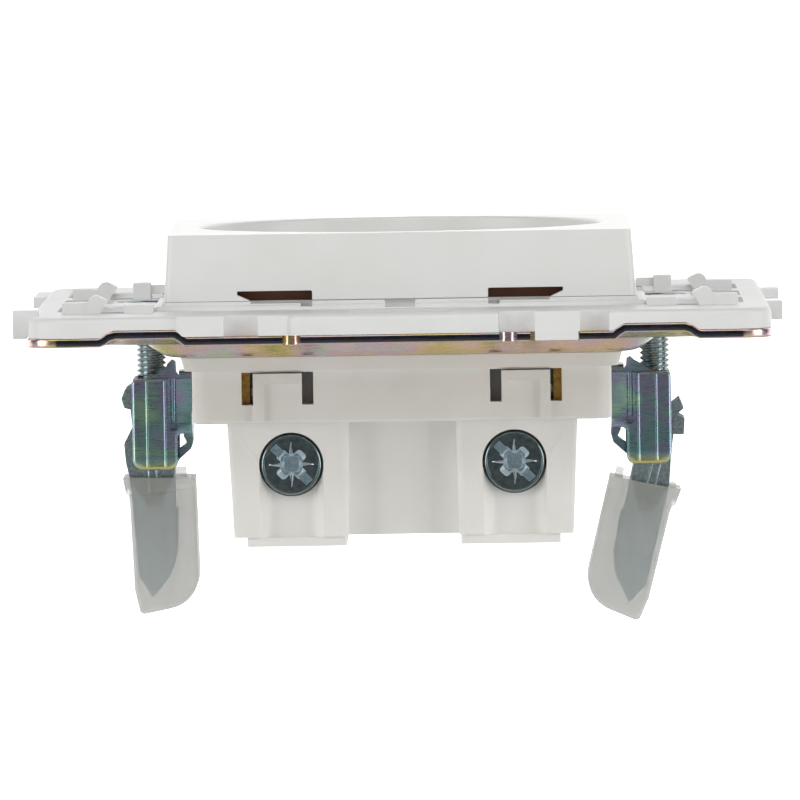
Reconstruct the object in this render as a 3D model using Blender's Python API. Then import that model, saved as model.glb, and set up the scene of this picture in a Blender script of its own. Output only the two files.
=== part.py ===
"""Flush wall socket mechanism: one two-pole, round-pin, unearthed socket outlet with claw fixing.

Run with: blender --background --python part.py

Frame: the origin is the centre of the wall plane (the underside of the steel plate's rim), +Z
points out of the wall, +X runs from claw to claw, and the terminal screws face -Y. The sizes
below are in millimetres; every mesh is made in metres.
"""

import math

import bmesh
import bpy
from mathutils import Matrix, Vector

MM = 0.001
GAP = 0.3

# Support plate: a pressed steel square with a shallow drawn well.
PLATE_SIDE = 71.0
PLATE_THICK = 0.85
PLATE_CORNER = 3.0
WELL_DEPTH = 1.75
WELL_FLOOR_HALF = 20.3
WELL_RIM_HALF = 24.6
PLATE_OPENING_HALF = 17.5
JOGGLE_RISE = 0.7
JOGGLE_X = (21.0, 28.0)
BOX_SCREW_SPACING = 60.0
BOX_SCREW_SLOT = (3.8, 8.0)

# Carrier frame: the white moulding on top of the plate.
CARRIER_SIDE = 70.8
CARRIER_TOP = 2.84
PLINTH_TOP = 3.78
PLINTH_HALF = 22.8
SKIRT_HALF = 17.2
SKIRT_THICK = 1.2
SKIRT_BOTTOM = -6.6
# Each tab: side, outer X, Y from and to, Z from and to.
SIDE_TABS = (
    (-1, 36.9, -31.5, -28.5, 0.75, 3.4),
    (-1, 37.3, 29.5, 34.0, 0.75, 1.96),
    (1, 37.2, -2.0, 2.0, 0.2, 2.0),
    (1, 37.16, 12.0, 16.0, 1.65, 2.69),
)

# Socket face: the raised block with its round recess.
FACE_TOP = 10.05
FACE_HALF_FOOT = 22.68
FACE_HALF_TOP = 22.27
FACE_WALL = 1.4
DISH_RADIUS = 19.65
DISH_FLOOR = 1.6
DISH_WALL = 1.2
PIN_SPACING = 19.0
PIN_HOLE_RADIUS = 3.05
WINDOW_X = (8.44, 15.64)

# Base housing: square collar, lower body and two terminal towers.
COLLAR_HALF_X = 20.2
COLLAR_HALF_Y = 20.5
COLLAR_TOP = -2.05
COLLAR_BOTTOM = -8.25
FLANGE_HALF = 21.25
FLANGE_BOTTOM = -3.1
BODY_HALF_TOP = 16.75
BODY_HALF_FOOT = 15.95
BODY_HALF_Y = 17.0
BODY_BOTTOM = -19.3
FOOT_BOTTOM = -20.2
FOOT_X = (5.5, 15.1)
TOWER_FRONT = -19.5
WALL = 1.4
TONGUE_X = (9.75, 14.5)
TONGUE_TOP = -3.3
TONGUE_SLIT_BOTTOM = -6.45

# Contacts and terminals.
TERMINAL_X = 10.75
TERMINAL_Z = -12.3
TERMINAL_HEAD_RADIUS = 2.95
TERMINAL_SHANK_RADIUS = 1.75
CAGE_HALF_X = 3.5
CAGE_WALL = 1.0
SHEET = 0.8
LEAF_GAP = 4.5
TULIP_TOP = -4.4
TULIP_FOOT = -16.8

# Shutter.
SHUTTER_TOP = -0.2
SHUTTER_THICK = 2.2
SHUTTER_HALF_Y = 3.3
SPRING_RADIUS = 0.9
SPRING_WIRE_RADIUS = 0.15
SPRING_TURNS = 6

# Claws: screw, stirrup, lever and sleeve on each side.
CLAW_X = 24.6
CLAW_SCREW_RADIUS = 1.43
CLAW_SCREW_TIP = -14.2
CLAW_HEAD_RADIUS = 2.75
STIRRUP_TOP = -3.7
STIRRUP_SHOULDER = -4.5
STIRRUP_BOTTOM = -13.2
STIRRUP_INNER_X = 20.7
STIRRUP_OUTER_X = {"L": 26.4, "R": 26.05}
STIRRUP_HALF_Y = 5.0
STIRRUP_SHEET = 1.0
LEVER_PIVOT = {"L": (20.9, -11.4), "R": (21.15, -12.05)}
LEVER_LEAN_DEG = {"L": 2.0, "R": 14.2}
LEVER_HALF_Y = 2.7
LEVER_SHEET = 0.8
SLEEVE_HALF_Y = 3.7
SLEEVE_WALL = 0.7

PARTS = bpy.data.collections.new("wall_socket_mechanism")
TOOLS = bpy.data.collections.new("shaping_tools")


# ---------------------------------------------------------------- helpers

def clear_scene():
    for obj in list(bpy.data.objects):
        bpy.data.objects.remove(obj, do_unlink=True)
    bpy.context.scene.collection.children.link(PARTS)
    bpy.context.scene.collection.children.link(TOOLS)


def material(name, colour, roughness, metallic=0.0):
    made = bpy.data.materials.new(name)
    made.use_nodes = True
    shader = made.node_tree.nodes["Principled BSDF"]
    shader.inputs["Base Color"].default_value = (*colour, 1.0)
    shader.inputs["Roughness"].default_value = roughness
    shader.inputs["Metallic"].default_value = metallic
    return made


def object_from(name, bm):
    """A new object, not yet in a collection, from a bmesh in millimetres."""
    bmesh.ops.scale(bm, vec=(MM, MM, MM), verts=bm.verts)
    mesh = bpy.data.meshes.new(name)
    bm.to_mesh(mesh)
    bm.free()
    return bpy.data.objects.new(name, mesh)


def box(name, low, high):
    bm = bmesh.new()
    bmesh.ops.create_cube(bm, size=1.0)
    size = [b - a for a, b in zip(low, high)]
    middle = [(a + b) / 2 for a, b in zip(low, high)]
    bmesh.ops.scale(bm, vec=size, verts=bm.verts)
    bmesh.ops.translate(bm, vec=middle, verts=bm.verts)
    return object_from(name, bm)


def cylinder(name, start, end, radius, end_radius=None, sides=20):
    """A cylinder, or a cone frustum, from start to end."""
    start = Vector(start)
    along = Vector(end) - start
    bm = bmesh.new()
    bmesh.ops.create_cone(
        bm,
        cap_ends=True,
        segments=sides,
        radius1=radius,
        radius2=radius if end_radius is None else end_radius,
        depth=along.length,
    )
    turn = along.to_track_quat("Z", "Y").to_matrix().to_4x4()
    place = Matrix.Translation(start + along / 2) @ turn
    bmesh.ops.transform(bm, matrix=place, verts=bm.verts)
    return object_from(name, bm)


def square_frustum(name, low_half, high_half, z_low, z_high, corner=0.0):
    """A square block with sloping sides and, with a corner size, bevelled upright edges."""
    bm = bmesh.new()
    bmesh.ops.create_cone(
        bm,
        cap_ends=True,
        segments=4,
        radius1=low_half * math.sqrt(2),
        radius2=high_half * math.sqrt(2),
        depth=z_high - z_low,
    )
    bmesh.ops.rotate(bm, matrix=Matrix.Rotation(math.pi / 4, 3, "Z"), verts=bm.verts)
    bmesh.ops.translate(bm, vec=(0, 0, (z_low + z_high) / 2), verts=bm.verts)
    if corner:
        upright = [e for e in bm.edges if abs(e.verts[0].co.z - e.verts[1].co.z) > 1e-6]
        bmesh.ops.bevel(bm, geom=upright, offset=corner, segments=4, profile=0.5, affect="EDGES")
    return object_from(name, bm)


def settled(obj, place=None):
    """The object with its modifiers applied and its place put into its mesh."""
    TOOLS.objects.link(obj)
    graph = bpy.context.evaluated_depsgraph_get()
    mesh = bpy.data.meshes.new_from_object(obj.evaluated_get(graph))
    name = obj.name
    matrix = (place or Matrix()) @ obj.matrix_world
    bpy.data.objects.remove(obj, do_unlink=True)
    mesh.transform(matrix)
    if matrix.determinant() < 0:
        mesh.flip_normals()
    made = bpy.data.objects.new(name, mesh)
    return made


def outline(name, points, thickness, place):
    """A flat outline, drawn in millimetres in its own XY plane, made into a slab."""
    curve = bpy.data.curves.new(name, "CURVE")
    curve.dimensions = "2D"
    curve.fill_mode = "BOTH"
    curve.extrude = thickness / 2 * MM
    spline = curve.splines.new("POLY")
    spline.points.add(len(points) - 1)
    for point, (x, y) in zip(spline.points, points):
        point.co = (x * MM, y * MM, 0.0, 1.0)
    spline.use_cyclic_u = True
    obj = settled(bpy.data.objects.new(name, curve))
    bm = bmesh.new()
    bm.from_mesh(obj.data)
    bmesh.ops.remove_doubles(bm, verts=bm.verts, dist=0.000001)
    bmesh.ops.recalc_face_normals(bm, faces=bm.faces)
    bm.transform(place)
    if place.determinant() < 0:
        bmesh.ops.reverse_faces(bm, faces=bm.faces)
    bm.to_mesh(obj.data)
    bm.free()
    return obj


def arc(centre, radius, start_deg, end_deg, steps):
    """Points along an arc, both ends included."""
    points = []
    for i in range(steps + 1):
        angle = math.radians(start_deg + (end_deg - start_deg) * i / steps)
        points.append((centre[0] + radius * math.cos(angle), centre[1] + radius * math.sin(angle)))
    return points


def rounded_square(half, corner, steps=4):
    points = []
    for quarter in range(4):
        angle = math.radians(45 + 90 * quarter)
        centre = (
            math.copysign(half - corner, math.cos(angle)),
            math.copysign(half - corner, math.sin(angle)),
        )
        points += arc(centre, corner, 90 * quarter, 90 * quarter + 90, steps)
    return points


def flat(z):
    """Lays an outline level with its middle at height z."""
    return Matrix.Translation((0, 0, z * MM))


def upright(y, side=1):
    """Stands an outline up in the XZ plane at depth y, mirrored for the left side."""
    stand = Matrix.Rotation(math.pi / 2, 4, "X")
    mirror = Matrix.Diagonal((side, 1, 1, 1))
    return Matrix.Translation((0, y * MM, 0)) @ mirror @ stand


def shaped(obj, operation, tools, solver="EXACT"):
    """The object joined with, or cut by, each tool in turn."""
    for tool in tools:
        TOOLS.objects.link(tool)
        tool.hide_render = True
        tool.display_type = "WIRE"
        change = obj.modifiers.new(operation.lower(), "BOOLEAN")
        change.operation = operation
        change.solver = solver
        change.object = tool
    return obj


def joined(obj, *tools):
    return shaped(obj, "UNION", tools)


def cut(obj, *tools):
    return shaped(obj, "DIFFERENCE", tools)


def moved(obj, matrix):
    obj.data.transform(matrix)
    if matrix.determinant() < 0:
        obj.data.flip_normals()
    return obj


def add_part(obj, finish, smooth=False, axis=None):
    """Puts a finished piece in the object's collection, on its joint's empty if it has one."""
    PARTS.objects.link(obj)
    obj.data.materials.clear()
    obj.data.materials.append(finish)
    if smooth:
        obj.data.shade_smooth()
        obj.data.set_sharp_from_angle(angle=math.radians(35))
    if axis is not None:
        obj.parent = axis
        obj.matrix_parent_inverse = axis.matrix_world.inverted()
    return obj


def joint_empty(name, place):
    empty = bpy.data.objects.new(name, None)
    empty.empty_display_size = 0.004
    empty.location = [v * MM for v in place]
    PARTS.objects.link(empty)
    bpy.context.view_layer.update()
    return empty


def both_ways(low, high):
    """A range of X and the same range mirrored to the left side."""
    return ((low, high), (-high, -low))


# ---------------------------------------------------------------- support plate

def make_support_plate(finish):
    plate = outline(
        "support_plate",
        rounded_square(PLATE_SIDE / 2, PLATE_CORNER),
        PLATE_THICK,
        flat(PLATE_THICK / 2),
    )
    slope = (WELL_RIM_HALF - WELL_FLOOR_HALF) / WELL_DEPTH
    over = 0.3
    pressed = square_frustum(
        "well_outside", WELL_FLOOR_HALF, WELL_RIM_HALF + slope * over, -WELL_DEPTH, over, 3.0
    )
    inner_floor = -WELL_DEPTH + PLATE_THICK
    inner_top = PLATE_THICK + over
    hollow = square_frustum(
        "well_inside",
        WELL_FLOOR_HALF,
        WELL_FLOOR_HALF + slope * (inner_top - inner_floor),
        inner_floor,
        inner_top,
        3.0,
    )
    opening = outline(
        "plate_opening", rounded_square(PLATE_OPENING_HALF, 2.0, 2), 6.0, flat(-1.0)
    )
    joined(plate, pressed)
    cuts = [hollow, opening]
    for low, high in both_ways(TONGUE_X[0] - 0.5, TONGUE_X[1] + 0.5):
        cuts.append(box("catch_notch", (low, -18.95, -3), (high, 18.95, 1)))
    for x in (-CLAW_X, CLAW_X):
        cuts.append(cylinder("claw_screw_hole", (x, 0, -2), (x, 0, 2), 1.8))
    for low, high in both_ways(21.2, 23.9):
        cuts.append(box("ear_slot", (low, 3.5, -3), (high, 5.5, 2)))
    half = BOX_SCREW_SPACING / 2
    wide, long = BOX_SCREW_SLOT
    for x, y in ((half, 0), (-half, 0), (0, half), (0, -half)):
        size = (wide, long) if x else (long, wide)
        cuts.append(
            box(
                "box_screw_slot",
                (x - size[0] / 2, y - size[1] / 2, -1),
                (x + size[0] / 2, y + size[1] / 2, 2),
            )
        )
    edge = -PLATE_SIDE / 2
    cuts.append(box("carrier_tab_notch", (12.4, edge - 1, -1), (17.1, edge + 1.2, 2)))
    for low, high in both_ways(*JOGGLE_X):
        cuts.append(
            box("joggle_relief", (low + 0.5, edge - 1, -1), (high - 0.5, edge + 3.2, JOGGLE_RISE + 0.02))
        )
    cut(plate, *cuts)
    for low, high in both_ways(*JOGGLE_X):
        joined(
            plate,
            box(
                "joggle",
                (low, edge + 0.02, JOGGLE_RISE),
                (high, edge + 4.0, JOGGLE_RISE + PLATE_THICK),
            ),
        )
    add_part(plate, finish)


# ---------------------------------------------------------------- carrier frame

def cover_lugs():
    """The snap lugs for the cover frame: a post, a hook, a thin bar and an inner post, four times."""
    lugs = []
    base = CARRIER_TOP - 0.4
    for side in (-1, 1):
        for y in (-26.0, 6.0):
            depth = 2.6
            ranges = (
                (29.7, 32.3, 3.85),
                (27.95, 29.8, 4.55),
                (25.9, 28.1, 3.35),
                (23.9, 26.0, 4.3),
            )
            for low, high, top in ranges:
                xs = sorted((side * low, side * high))
                lugs.append(box("cover_lug", (xs[0], y, base), (xs[1], y + depth, top)))
    return lugs


def side_tabs():
    """Small tongues on the two sides that overhang the steel plate's edge."""
    root = CARRIER_SIDE / 2 - 0.9
    clear = PLATE_SIDE / 2 + GAP
    over_plate = PLATE_THICK + GAP
    tabs = []
    for side, out, y_low, y_high, z_low, z_high in SIDE_TABS:
        xs = sorted((side * root, side * out))
        tabs.append(box("tab_root", (xs[0], y_low, max(z_low, over_plate)), (xs[1], y_high, z_high)))
        if z_low < over_plate:
            xs = sorted((side * clear, side * out))
            tabs.append(box("tab_lip", (xs[0], y_low, z_low), (xs[1], y_high, z_high - 0.1)))
    return tabs


def make_carrier_frame(finish):
    bottom = PLATE_THICK + GAP
    frame = outline(
        "carrier_frame",
        rounded_square(CARRIER_SIDE / 2, PLATE_CORNER),
        CARRIER_TOP - bottom,
        flat((CARRIER_TOP + bottom) / 2),
    )
    plinth = square_frustum("plinth", PLINTH_HALF, PLINTH_HALF, CARRIER_TOP - 0.5, PLINTH_TOP)
    ledge_top = -WELL_DEPTH + PLATE_THICK + GAP + 0.7
    ledge = square_frustum("ledge", 19.6, 19.6, ledge_top - 0.7, ledge_top, 2.0)
    web = square_frustum("web", 19.6, 22.6, ledge_top - 0.3, bottom + 0.3, 2.0)
    skirt = square_frustum("skirt", SKIRT_HALF, SKIRT_HALF, SKIRT_BOTTOM, ledge_top - 0.2, 1.5)
    joined(frame, plinth, web, ledge, skirt)
    for low, high in both_ways(*TONGUE_X):
        joined(frame, box("catch", (low, -18.6, -6.2), (high, 18.6, -4.9)))
    edge = -CARRIER_SIDE / 2
    joined(
        frame,
        box("plate_tab", (12.7, edge - 0.2, 0.05), (16.8, edge + 0.6, CARRIER_TOP - 0.2)),
        *side_tabs(),
        *cover_lugs(),
    )
    inside = SKIRT_HALF - SKIRT_THICK
    cuts = [
        square_frustum("dish_room", 18.4, 21.4, ledge_top, 5.0, 1.5),
        square_frustum("contact_room", inside, inside, SKIRT_BOTTOM - 1, 1.0, 1.0),
    ]
    cuts.append(cylinder("dish_clearance", (0, 0, ledge_top + 0.1), (0, 0, 5), 21.25, sides=48))
    for low, high in both_ways(JOGGLE_X[0] - GAP, JOGGLE_X[1] + GAP):
        cuts.append(box("joggle_room", (low, edge - 1, 0), (high, edge + 4.5, 1.85)))
    for low, high in both_ways(*WINDOW_X):
        cuts.append(box("latch_notch", (low, -24, 3.2), (low + 1.1, -21, 5)))
        cuts.append(box("latch_notch", (low, 21, 3.2), (low + 1.1, 24, 5)))
    for low, high in ((16.8, 19.4), (9.2, 12.7), (-16.9, -14.0)):
        cuts.append(box("edge_recess", (low, edge - 1, 0), (high, edge + 0.6, CARRIER_TOP - 0.3)))
    for x in (-CLAW_X, CLAW_X):
        cuts.append(cylinder("claw_head_room", (x, 0, -1), (x, 0, 6), 3.3))
    half = BOX_SCREW_SPACING / 2
    for x, y in ((half + 0.6, 0), (-half - 0.6, 0)):
        cuts.append(box("box_screw_window", (x - 2.4, y - 5, 0), (x + 2.4, y + 5, 6)))
    for x, y in ((0, half), (0, -half)):
        cuts.append(box("box_screw_window", (x - 5, y - 3.4, 0), (x + 5, y + 3.4, 6)))
    for low, high in both_ways(21.2, 23.9):
        cuts.append(box("ear_room", (low, 3.5, -3), (high, 5.5, 2.2)))
    cut(frame, *cuts)
    add_part(frame, finish)


# ---------------------------------------------------------------- socket face

def make_socket_face(finish):
    foot = PLINTH_TOP + GAP
    slope = (FACE_HALF_FOOT - FACE_HALF_TOP) / (FACE_TOP - foot)
    face = square_frustum("socket_face", FACE_HALF_FOOT, FACE_HALF_TOP, foot, FACE_TOP, 0.8)
    inner = FACE_HALF_FOOT - FACE_WALL
    hollow_top = FACE_TOP - FACE_WALL
    hollow = square_frustum(
        "face_hollow", inner + slope, inner - slope * (hollow_top - foot), foot - 1, hollow_top, 0.5
    )
    cut(face, hollow)
    dish = cylinder(
        "dish_outside",
        (0, 0, DISH_FLOOR - DISH_WALL),
        (0, 0, FACE_TOP - 0.4),
        DISH_RADIUS + DISH_WALL,
        sides=48,
    )
    joined(face, dish)
    cuts = [cylinder("dish", (0, 0, DISH_FLOOR), (0, 0, FACE_TOP + 1), DISH_RADIUS, sides=48)]
    for x in (-PIN_SPACING / 2, PIN_SPACING / 2):
        cuts.append(
            cylinder("pin_hole", (x, 0, DISH_FLOOR - 2), (x, 0, DISH_FLOOR + 1), PIN_HOLE_RADIUS)
        )
    for low, high in both_ways(*WINDOW_X):
        cuts.append(box("latch_window", (low, -24, foot - 1), (high, -20.6, 4.5)))
        cuts.append(box("latch_window", (low, 20.6, foot - 1), (high, 24, 4.5)))
    cut(face, *cuts)
    post_bottom = SHUTTER_TOP - SHUTTER_THICK - 0.2
    for x, y in ((3.6, -8.0), (-3.6, -8.0), (3.6, 12.6), (-3.6, 12.6)):
        joined(
            face,
            box("guide_post", (x - 0.9, y - 0.9, post_bottom), (x + 0.9, y + 0.9, DISH_FLOOR - 0.5)),
        )
    add_part(face, finish)


# ---------------------------------------------------------------- base housing

def make_base_housing(finish):
    base = box(
        "base_housing",
        (-COLLAR_HALF_X, -COLLAR_HALF_Y, COLLAR_BOTTOM),
        (COLLAR_HALF_X, COLLAR_HALF_Y, COLLAR_TOP),
    )
    flange = square_frustum("flange", COLLAR_HALF_X, FLANGE_HALF, FLANGE_BOTTOM, COLLAR_TOP)
    body_top = COLLAR_BOTTOM + 0.4
    slope = (BODY_HALF_TOP - BODY_HALF_FOOT) / (body_top - BODY_BOTTOM)
    body = square_frustum("lower_body", BODY_HALF_FOOT, BODY_HALF_TOP, BODY_BOTTOM, body_top)
    rear_y = BODY_HALF_Y
    joined(base, flange, body)
    for low, high in both_ways(5.5, BODY_HALF_TOP - 0.1):
        tower = [(low, TOWER_FRONT + 0.1), (high, TOWER_FRONT + 0.1), (high, -14), (low, -14)]
        height = body_top - BODY_BOTTOM
        joined(base, outline("tower", tower, height, flat((body_top + BODY_BOTTOM) / 2)))
    for low, high in both_ways(*FOOT_X):
        joined(base, box("foot", (low, TOWER_FRONT + 0.5, FOOT_BOTTOM), (high, -4.0, BODY_BOTTOM + 0.5)))
    cuts = [
        box(
            "collar_room",
            (-COLLAR_HALF_X + WALL, -COLLAR_HALF_Y + WALL, COLLAR_BOTTOM + WALL),
            (COLLAR_HALF_X - WALL, COLLAR_HALF_Y - WALL, 0),
        ),
        box("middle_room", (-3.6, -14.0, BODY_BOTTOM + WALL), (3.6, 14.0, 0)),
    ]
    for low, high in both_ways(5.0, 14.85):
        cuts.append(box("pole_room", (low, -16.4, -18.1), (high, 5.0, 0)))
    for low, high in (*both_ways(5.0, 9.3), *both_ways(10.5, 14.85)):
        cuts.append(box("rear_pocket", (low, 6.2, -18.1), (high, rear_y - WALL, 0)))
    for low, high in both_ways(*TONGUE_X):
        for y in (-COLLAR_HALF_Y, COLLAR_HALF_Y - WALL):
            for slit in ((low - 0.7, low), (high, high + 0.7)):
                cuts.append(
                    box("slit", (slit[0], y - 0.5, TONGUE_SLIT_BOTTOM), (slit[1], y + 2, TONGUE_TOP))
                )
            cuts.append(
                box("slit", (low - 0.7, y - 0.5, TONGUE_TOP - 0.3), (high + 0.7, y + 2, TONGUE_TOP))
            )
    for x in (-TERMINAL_X, TERMINAL_X):
        front = TOWER_FRONT - 1
        cuts.append(
            cylinder("head_well", (x, front, TERMINAL_Z), (x, -17.2, TERMINAL_Z), 3.1, sides=24)
        )
        cuts.append(
            cylinder("shank_hole", (x, front, TERMINAL_Z), (x, -15, TERMINAL_Z), 2.1)
        )
        groove = TOWER_FRONT - 0.9
        cuts.append(
            cylinder("driver_groove", (x, groove, -21), (x, groove, TERMINAL_Z), 2.9)
        )
        for dx in (-1.35, 1.35):
            cuts.append(cylinder("wire_entry", (x + dx, -8.95, -21), (x + dx, -8.95, -17), 1.25, sides=12))
            cuts.append(
                cylinder(
                    "wire_funnel", (x + dx, -8.95, -21), (x + dx, -8.95, -19.2), 1.9, 1.2, sides=12
                )
            )
    for side in (-1, 1):
        xs = sorted((side * (COLLAR_HALF_X + 0.02), side * (FLANGE_HALF + 1)))
        cuts.append(box("stirrup_pass", (xs[0], -5.6, -3.6), (xs[1], 5.6, 0)))
    cut(base, *cuts)
    add_part(base, finish)


# ---------------------------------------------------------------- contacts and terminals

def make_contact(name, side, finish, spring_finish):
    """Brass strip: flat terminal tongue, bridge and a two-leaf tulip round one pin."""
    terminal = side * TERMINAL_X
    pin = side * PIN_SPACING / 2
    top = -7.6
    tongue_y = -11.0
    back_y = -4.0
    strip = box(
        f"contact_strip_{name}",
        (terminal - 2.1, tongue_y, -16.6),
        (terminal + 2.1, tongue_y + SHEET, top),
    )
    middle = (terminal + pin) / 2
    bridge = box(
        "bridge",
        (middle - 1.9, tongue_y + 0.1, top - SHEET - 0.1),
        (middle + 1.9, back_y + 0.4, top - 0.1),
    )
    half = LEAF_GAP / 2
    wide = half + SHEET
    inside_y = back_y + SHEET
    tulip_outline = [
        (pin - wide, back_y),
        (pin + wide, back_y),
        (pin + wide, 3.4),
        (pin + half, 3.4),
        (pin + half, inside_y),
        (pin - half, inside_y),
        (pin - half, 3.4),
        (pin - wide, 3.4),
    ]
    tulip = outline("tulip", tulip_outline, TULIP_TOP - TULIP_FOOT, flat((TULIP_TOP + TULIP_FOOT) / 2))
    joined(strip, bridge, tulip)
    add_part(strip, finish)
    reach = half + SHEET + GAP
    clip = box(
        f"contact_spring_{name}", (pin - reach - 0.4, -2.6, -13.5), (pin + reach + 0.4, 4.1, -8.9)
    )
    cut(clip, box("clip_inside", (pin - reach, -3.6, -14), (pin + reach, 3.7, -8)))
    add_part(clip, spring_finish)


def make_terminal(name, side, screw_finish, cage_finish):
    x = side * TERMINAL_X
    z = TERMINAL_Z
    axis = joint_empty(f"terminal_screw_{name}_axis", (x, -19.0, z))
    head = cylinder(
        f"terminal_screw_{name}", (x, -19.2, z), (x, -17.5, z), TERMINAL_HEAD_RADIUS, sides=24
    )
    joined(head, cylinder("shank", (x, -18.0, z), (x, -11.3, z), TERMINAL_SHANK_RADIUS - 0.1))
    cut(
        head,
        box("slot", (x - 2.0, -20, z - 0.4), (x + 2.0, -18.2, z + 0.4)),
        box("slot", (x - 0.4, -20, z - 2.0), (x + 0.4, -18.2, z + 2.0)),
    )
    add_part(head, screw_finish, True, axis)
    cage_axis = joint_empty(f"terminal_cage_{name}_axis", (x, -14.0, z))
    cage = box(
        f"terminal_cage_{name}", (x - CAGE_HALF_X, -14.0, -15.4), (x + CAGE_HALF_X, -6.5, -9.3)
    )
    cut(
        cage,
        box(
            "wire_space",
            (x - CAGE_HALF_X + CAGE_WALL, -12.8, -17),
            (x + CAGE_HALF_X - CAGE_WALL, -7.5, -8),
        ),
        cylinder("thread_hole", (x, -15, z), (x, -12, z), TERMINAL_SHANK_RADIUS + 0.05),
    )
    add_part(cage, cage_finish, False, cage_axis)


# ---------------------------------------------------------------- shutter

def make_shutter(finish, spring_finish, guide_finish):
    low = SHUTTER_TOP - SHUTTER_THICK
    axis = joint_empty("shutter_axis", (0, 0, low))
    shutter = box("shutter", (-13.2, -SHUTTER_HALF_Y, low), (13.2, SHUTTER_HALF_Y, SHUTTER_TOP))
    ramps = []
    for x in (-PIN_SPACING / 2, PIN_SPACING / 2):
        ramp = box("entry_ramp", (x - 2.9, -3.5, -1.3), (x + 2.9, 3.5, 3.0))
        turn = Matrix.Rotation(math.radians(-18), 4, "X")
        ramps.append(moved(ramp, Matrix.Translation((0, -0.0012, 0.0001)) @ turn))
    cut(shutter, *ramps)
    add_part(shutter, finish, False, axis)
    guide = box("shutter_guide", (-15.5, -15.5, low - 1.1), (15.5, 15.5, low - 0.3))
    cuts = []
    for x in (-PIN_SPACING / 2, PIN_SPACING / 2):
        cuts.append(cylinder("pin_way", (x, 0, low - 3), (x, 0, low + 1), PIN_HOLE_RADIUS))
    joined(guide, box("spring_stop", (-1.6, 13.9, low - 0.6), (1.6, 14.9, SHUTTER_TOP)))
    cut(guide, *cuts)
    add_part(guide, guide_finish)
    make_spring(spring_finish, (low + SHUTTER_TOP) / 2)


def make_spring(finish, z):
    """Compression spring between the shutter's back edge and the guide's stop."""
    start = SHUTTER_HALF_Y + GAP
    end = 13.9 - GAP
    per_turn = 10
    count = SPRING_TURNS * per_turn
    curve = bpy.data.curves.new("shutter_spring", "CURVE")
    curve.dimensions = "3D"
    curve.bevel_depth = SPRING_WIRE_RADIUS * MM
    curve.bevel_resolution = 1
    curve.use_fill_caps = True
    spline = curve.splines.new("POLY")
    spline.points.add(count)
    for i, point in enumerate(spline.points):
        angle = 2 * math.pi * i / per_turn
        y = start + SPRING_WIRE_RADIUS + (end - start - 2 * SPRING_WIRE_RADIUS) * i / count
        point.co = (
            SPRING_RADIUS * math.cos(angle) * MM,
            y * MM,
            (z + SPRING_RADIUS * math.sin(angle)) * MM,
            1.0,
        )
    obj = settled(bpy.data.objects.new("shutter_spring", curve))
    bm = bmesh.new()
    bm.from_mesh(obj.data)
    bmesh.ops.remove_doubles(bm, verts=bm.verts, dist=0.000001)
    bmesh.ops.recalc_face_normals(bm, faces=bm.faces)
    bm.to_mesh(obj.data)
    bm.free()
    add_part(obj, finish, True)


# ---------------------------------------------------------------- claws

def claw_point(name, x, z):
    """A point of the lever's own upright outline, turned by the lean and put on the pivot."""
    pivot_x, pivot_z = LEVER_PIVOT[name]
    lean = math.radians(LEVER_LEAN_DEG[name])
    return (
        pivot_x + x * math.cos(lean) + z * math.sin(lean),
        pivot_z - x * math.sin(lean) + z * math.cos(lean),
    )


def claw_slab(label, name, side, points, y_low, y_high):
    placed = [claw_point(name, x, z) for x, z in points]
    return outline(label, placed, y_high - y_low, upright((y_low + y_high) / 2, side))


def make_claw_screw(name, side, finish):
    x = side * CLAW_X
    axis = joint_empty(f"claw_screw_{name}_axis", (x, 0, 0))
    shank_top = 1.6
    screw = cylinder(
        f"claw_screw_{name}", (x, 0, CLAW_SCREW_TIP + 1.8), (x, 0, shank_top), CLAW_SCREW_RADIUS
    )
    tip = cylinder(
        "tip", (x, 0, CLAW_SCREW_TIP), (x, 0, CLAW_SCREW_TIP + 2.0), 0.6, CLAW_SCREW_RADIUS - 0.02
    )
    head = cylinder("head", (x, 0, PLATE_THICK + GAP), (x, 0, 2.8), CLAW_HEAD_RADIUS)
    joined(screw, tip, head)
    cut(
        screw,
        box("slot", (x - 1.8, -0.35, 1.8), (x + 1.8, 0.35, 4)),
        box("slot", (x - 0.35, -1.8, 1.8), (x + 0.35, 1.8, 4)),
    )
    add_part(screw, finish, True, axis)


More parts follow.
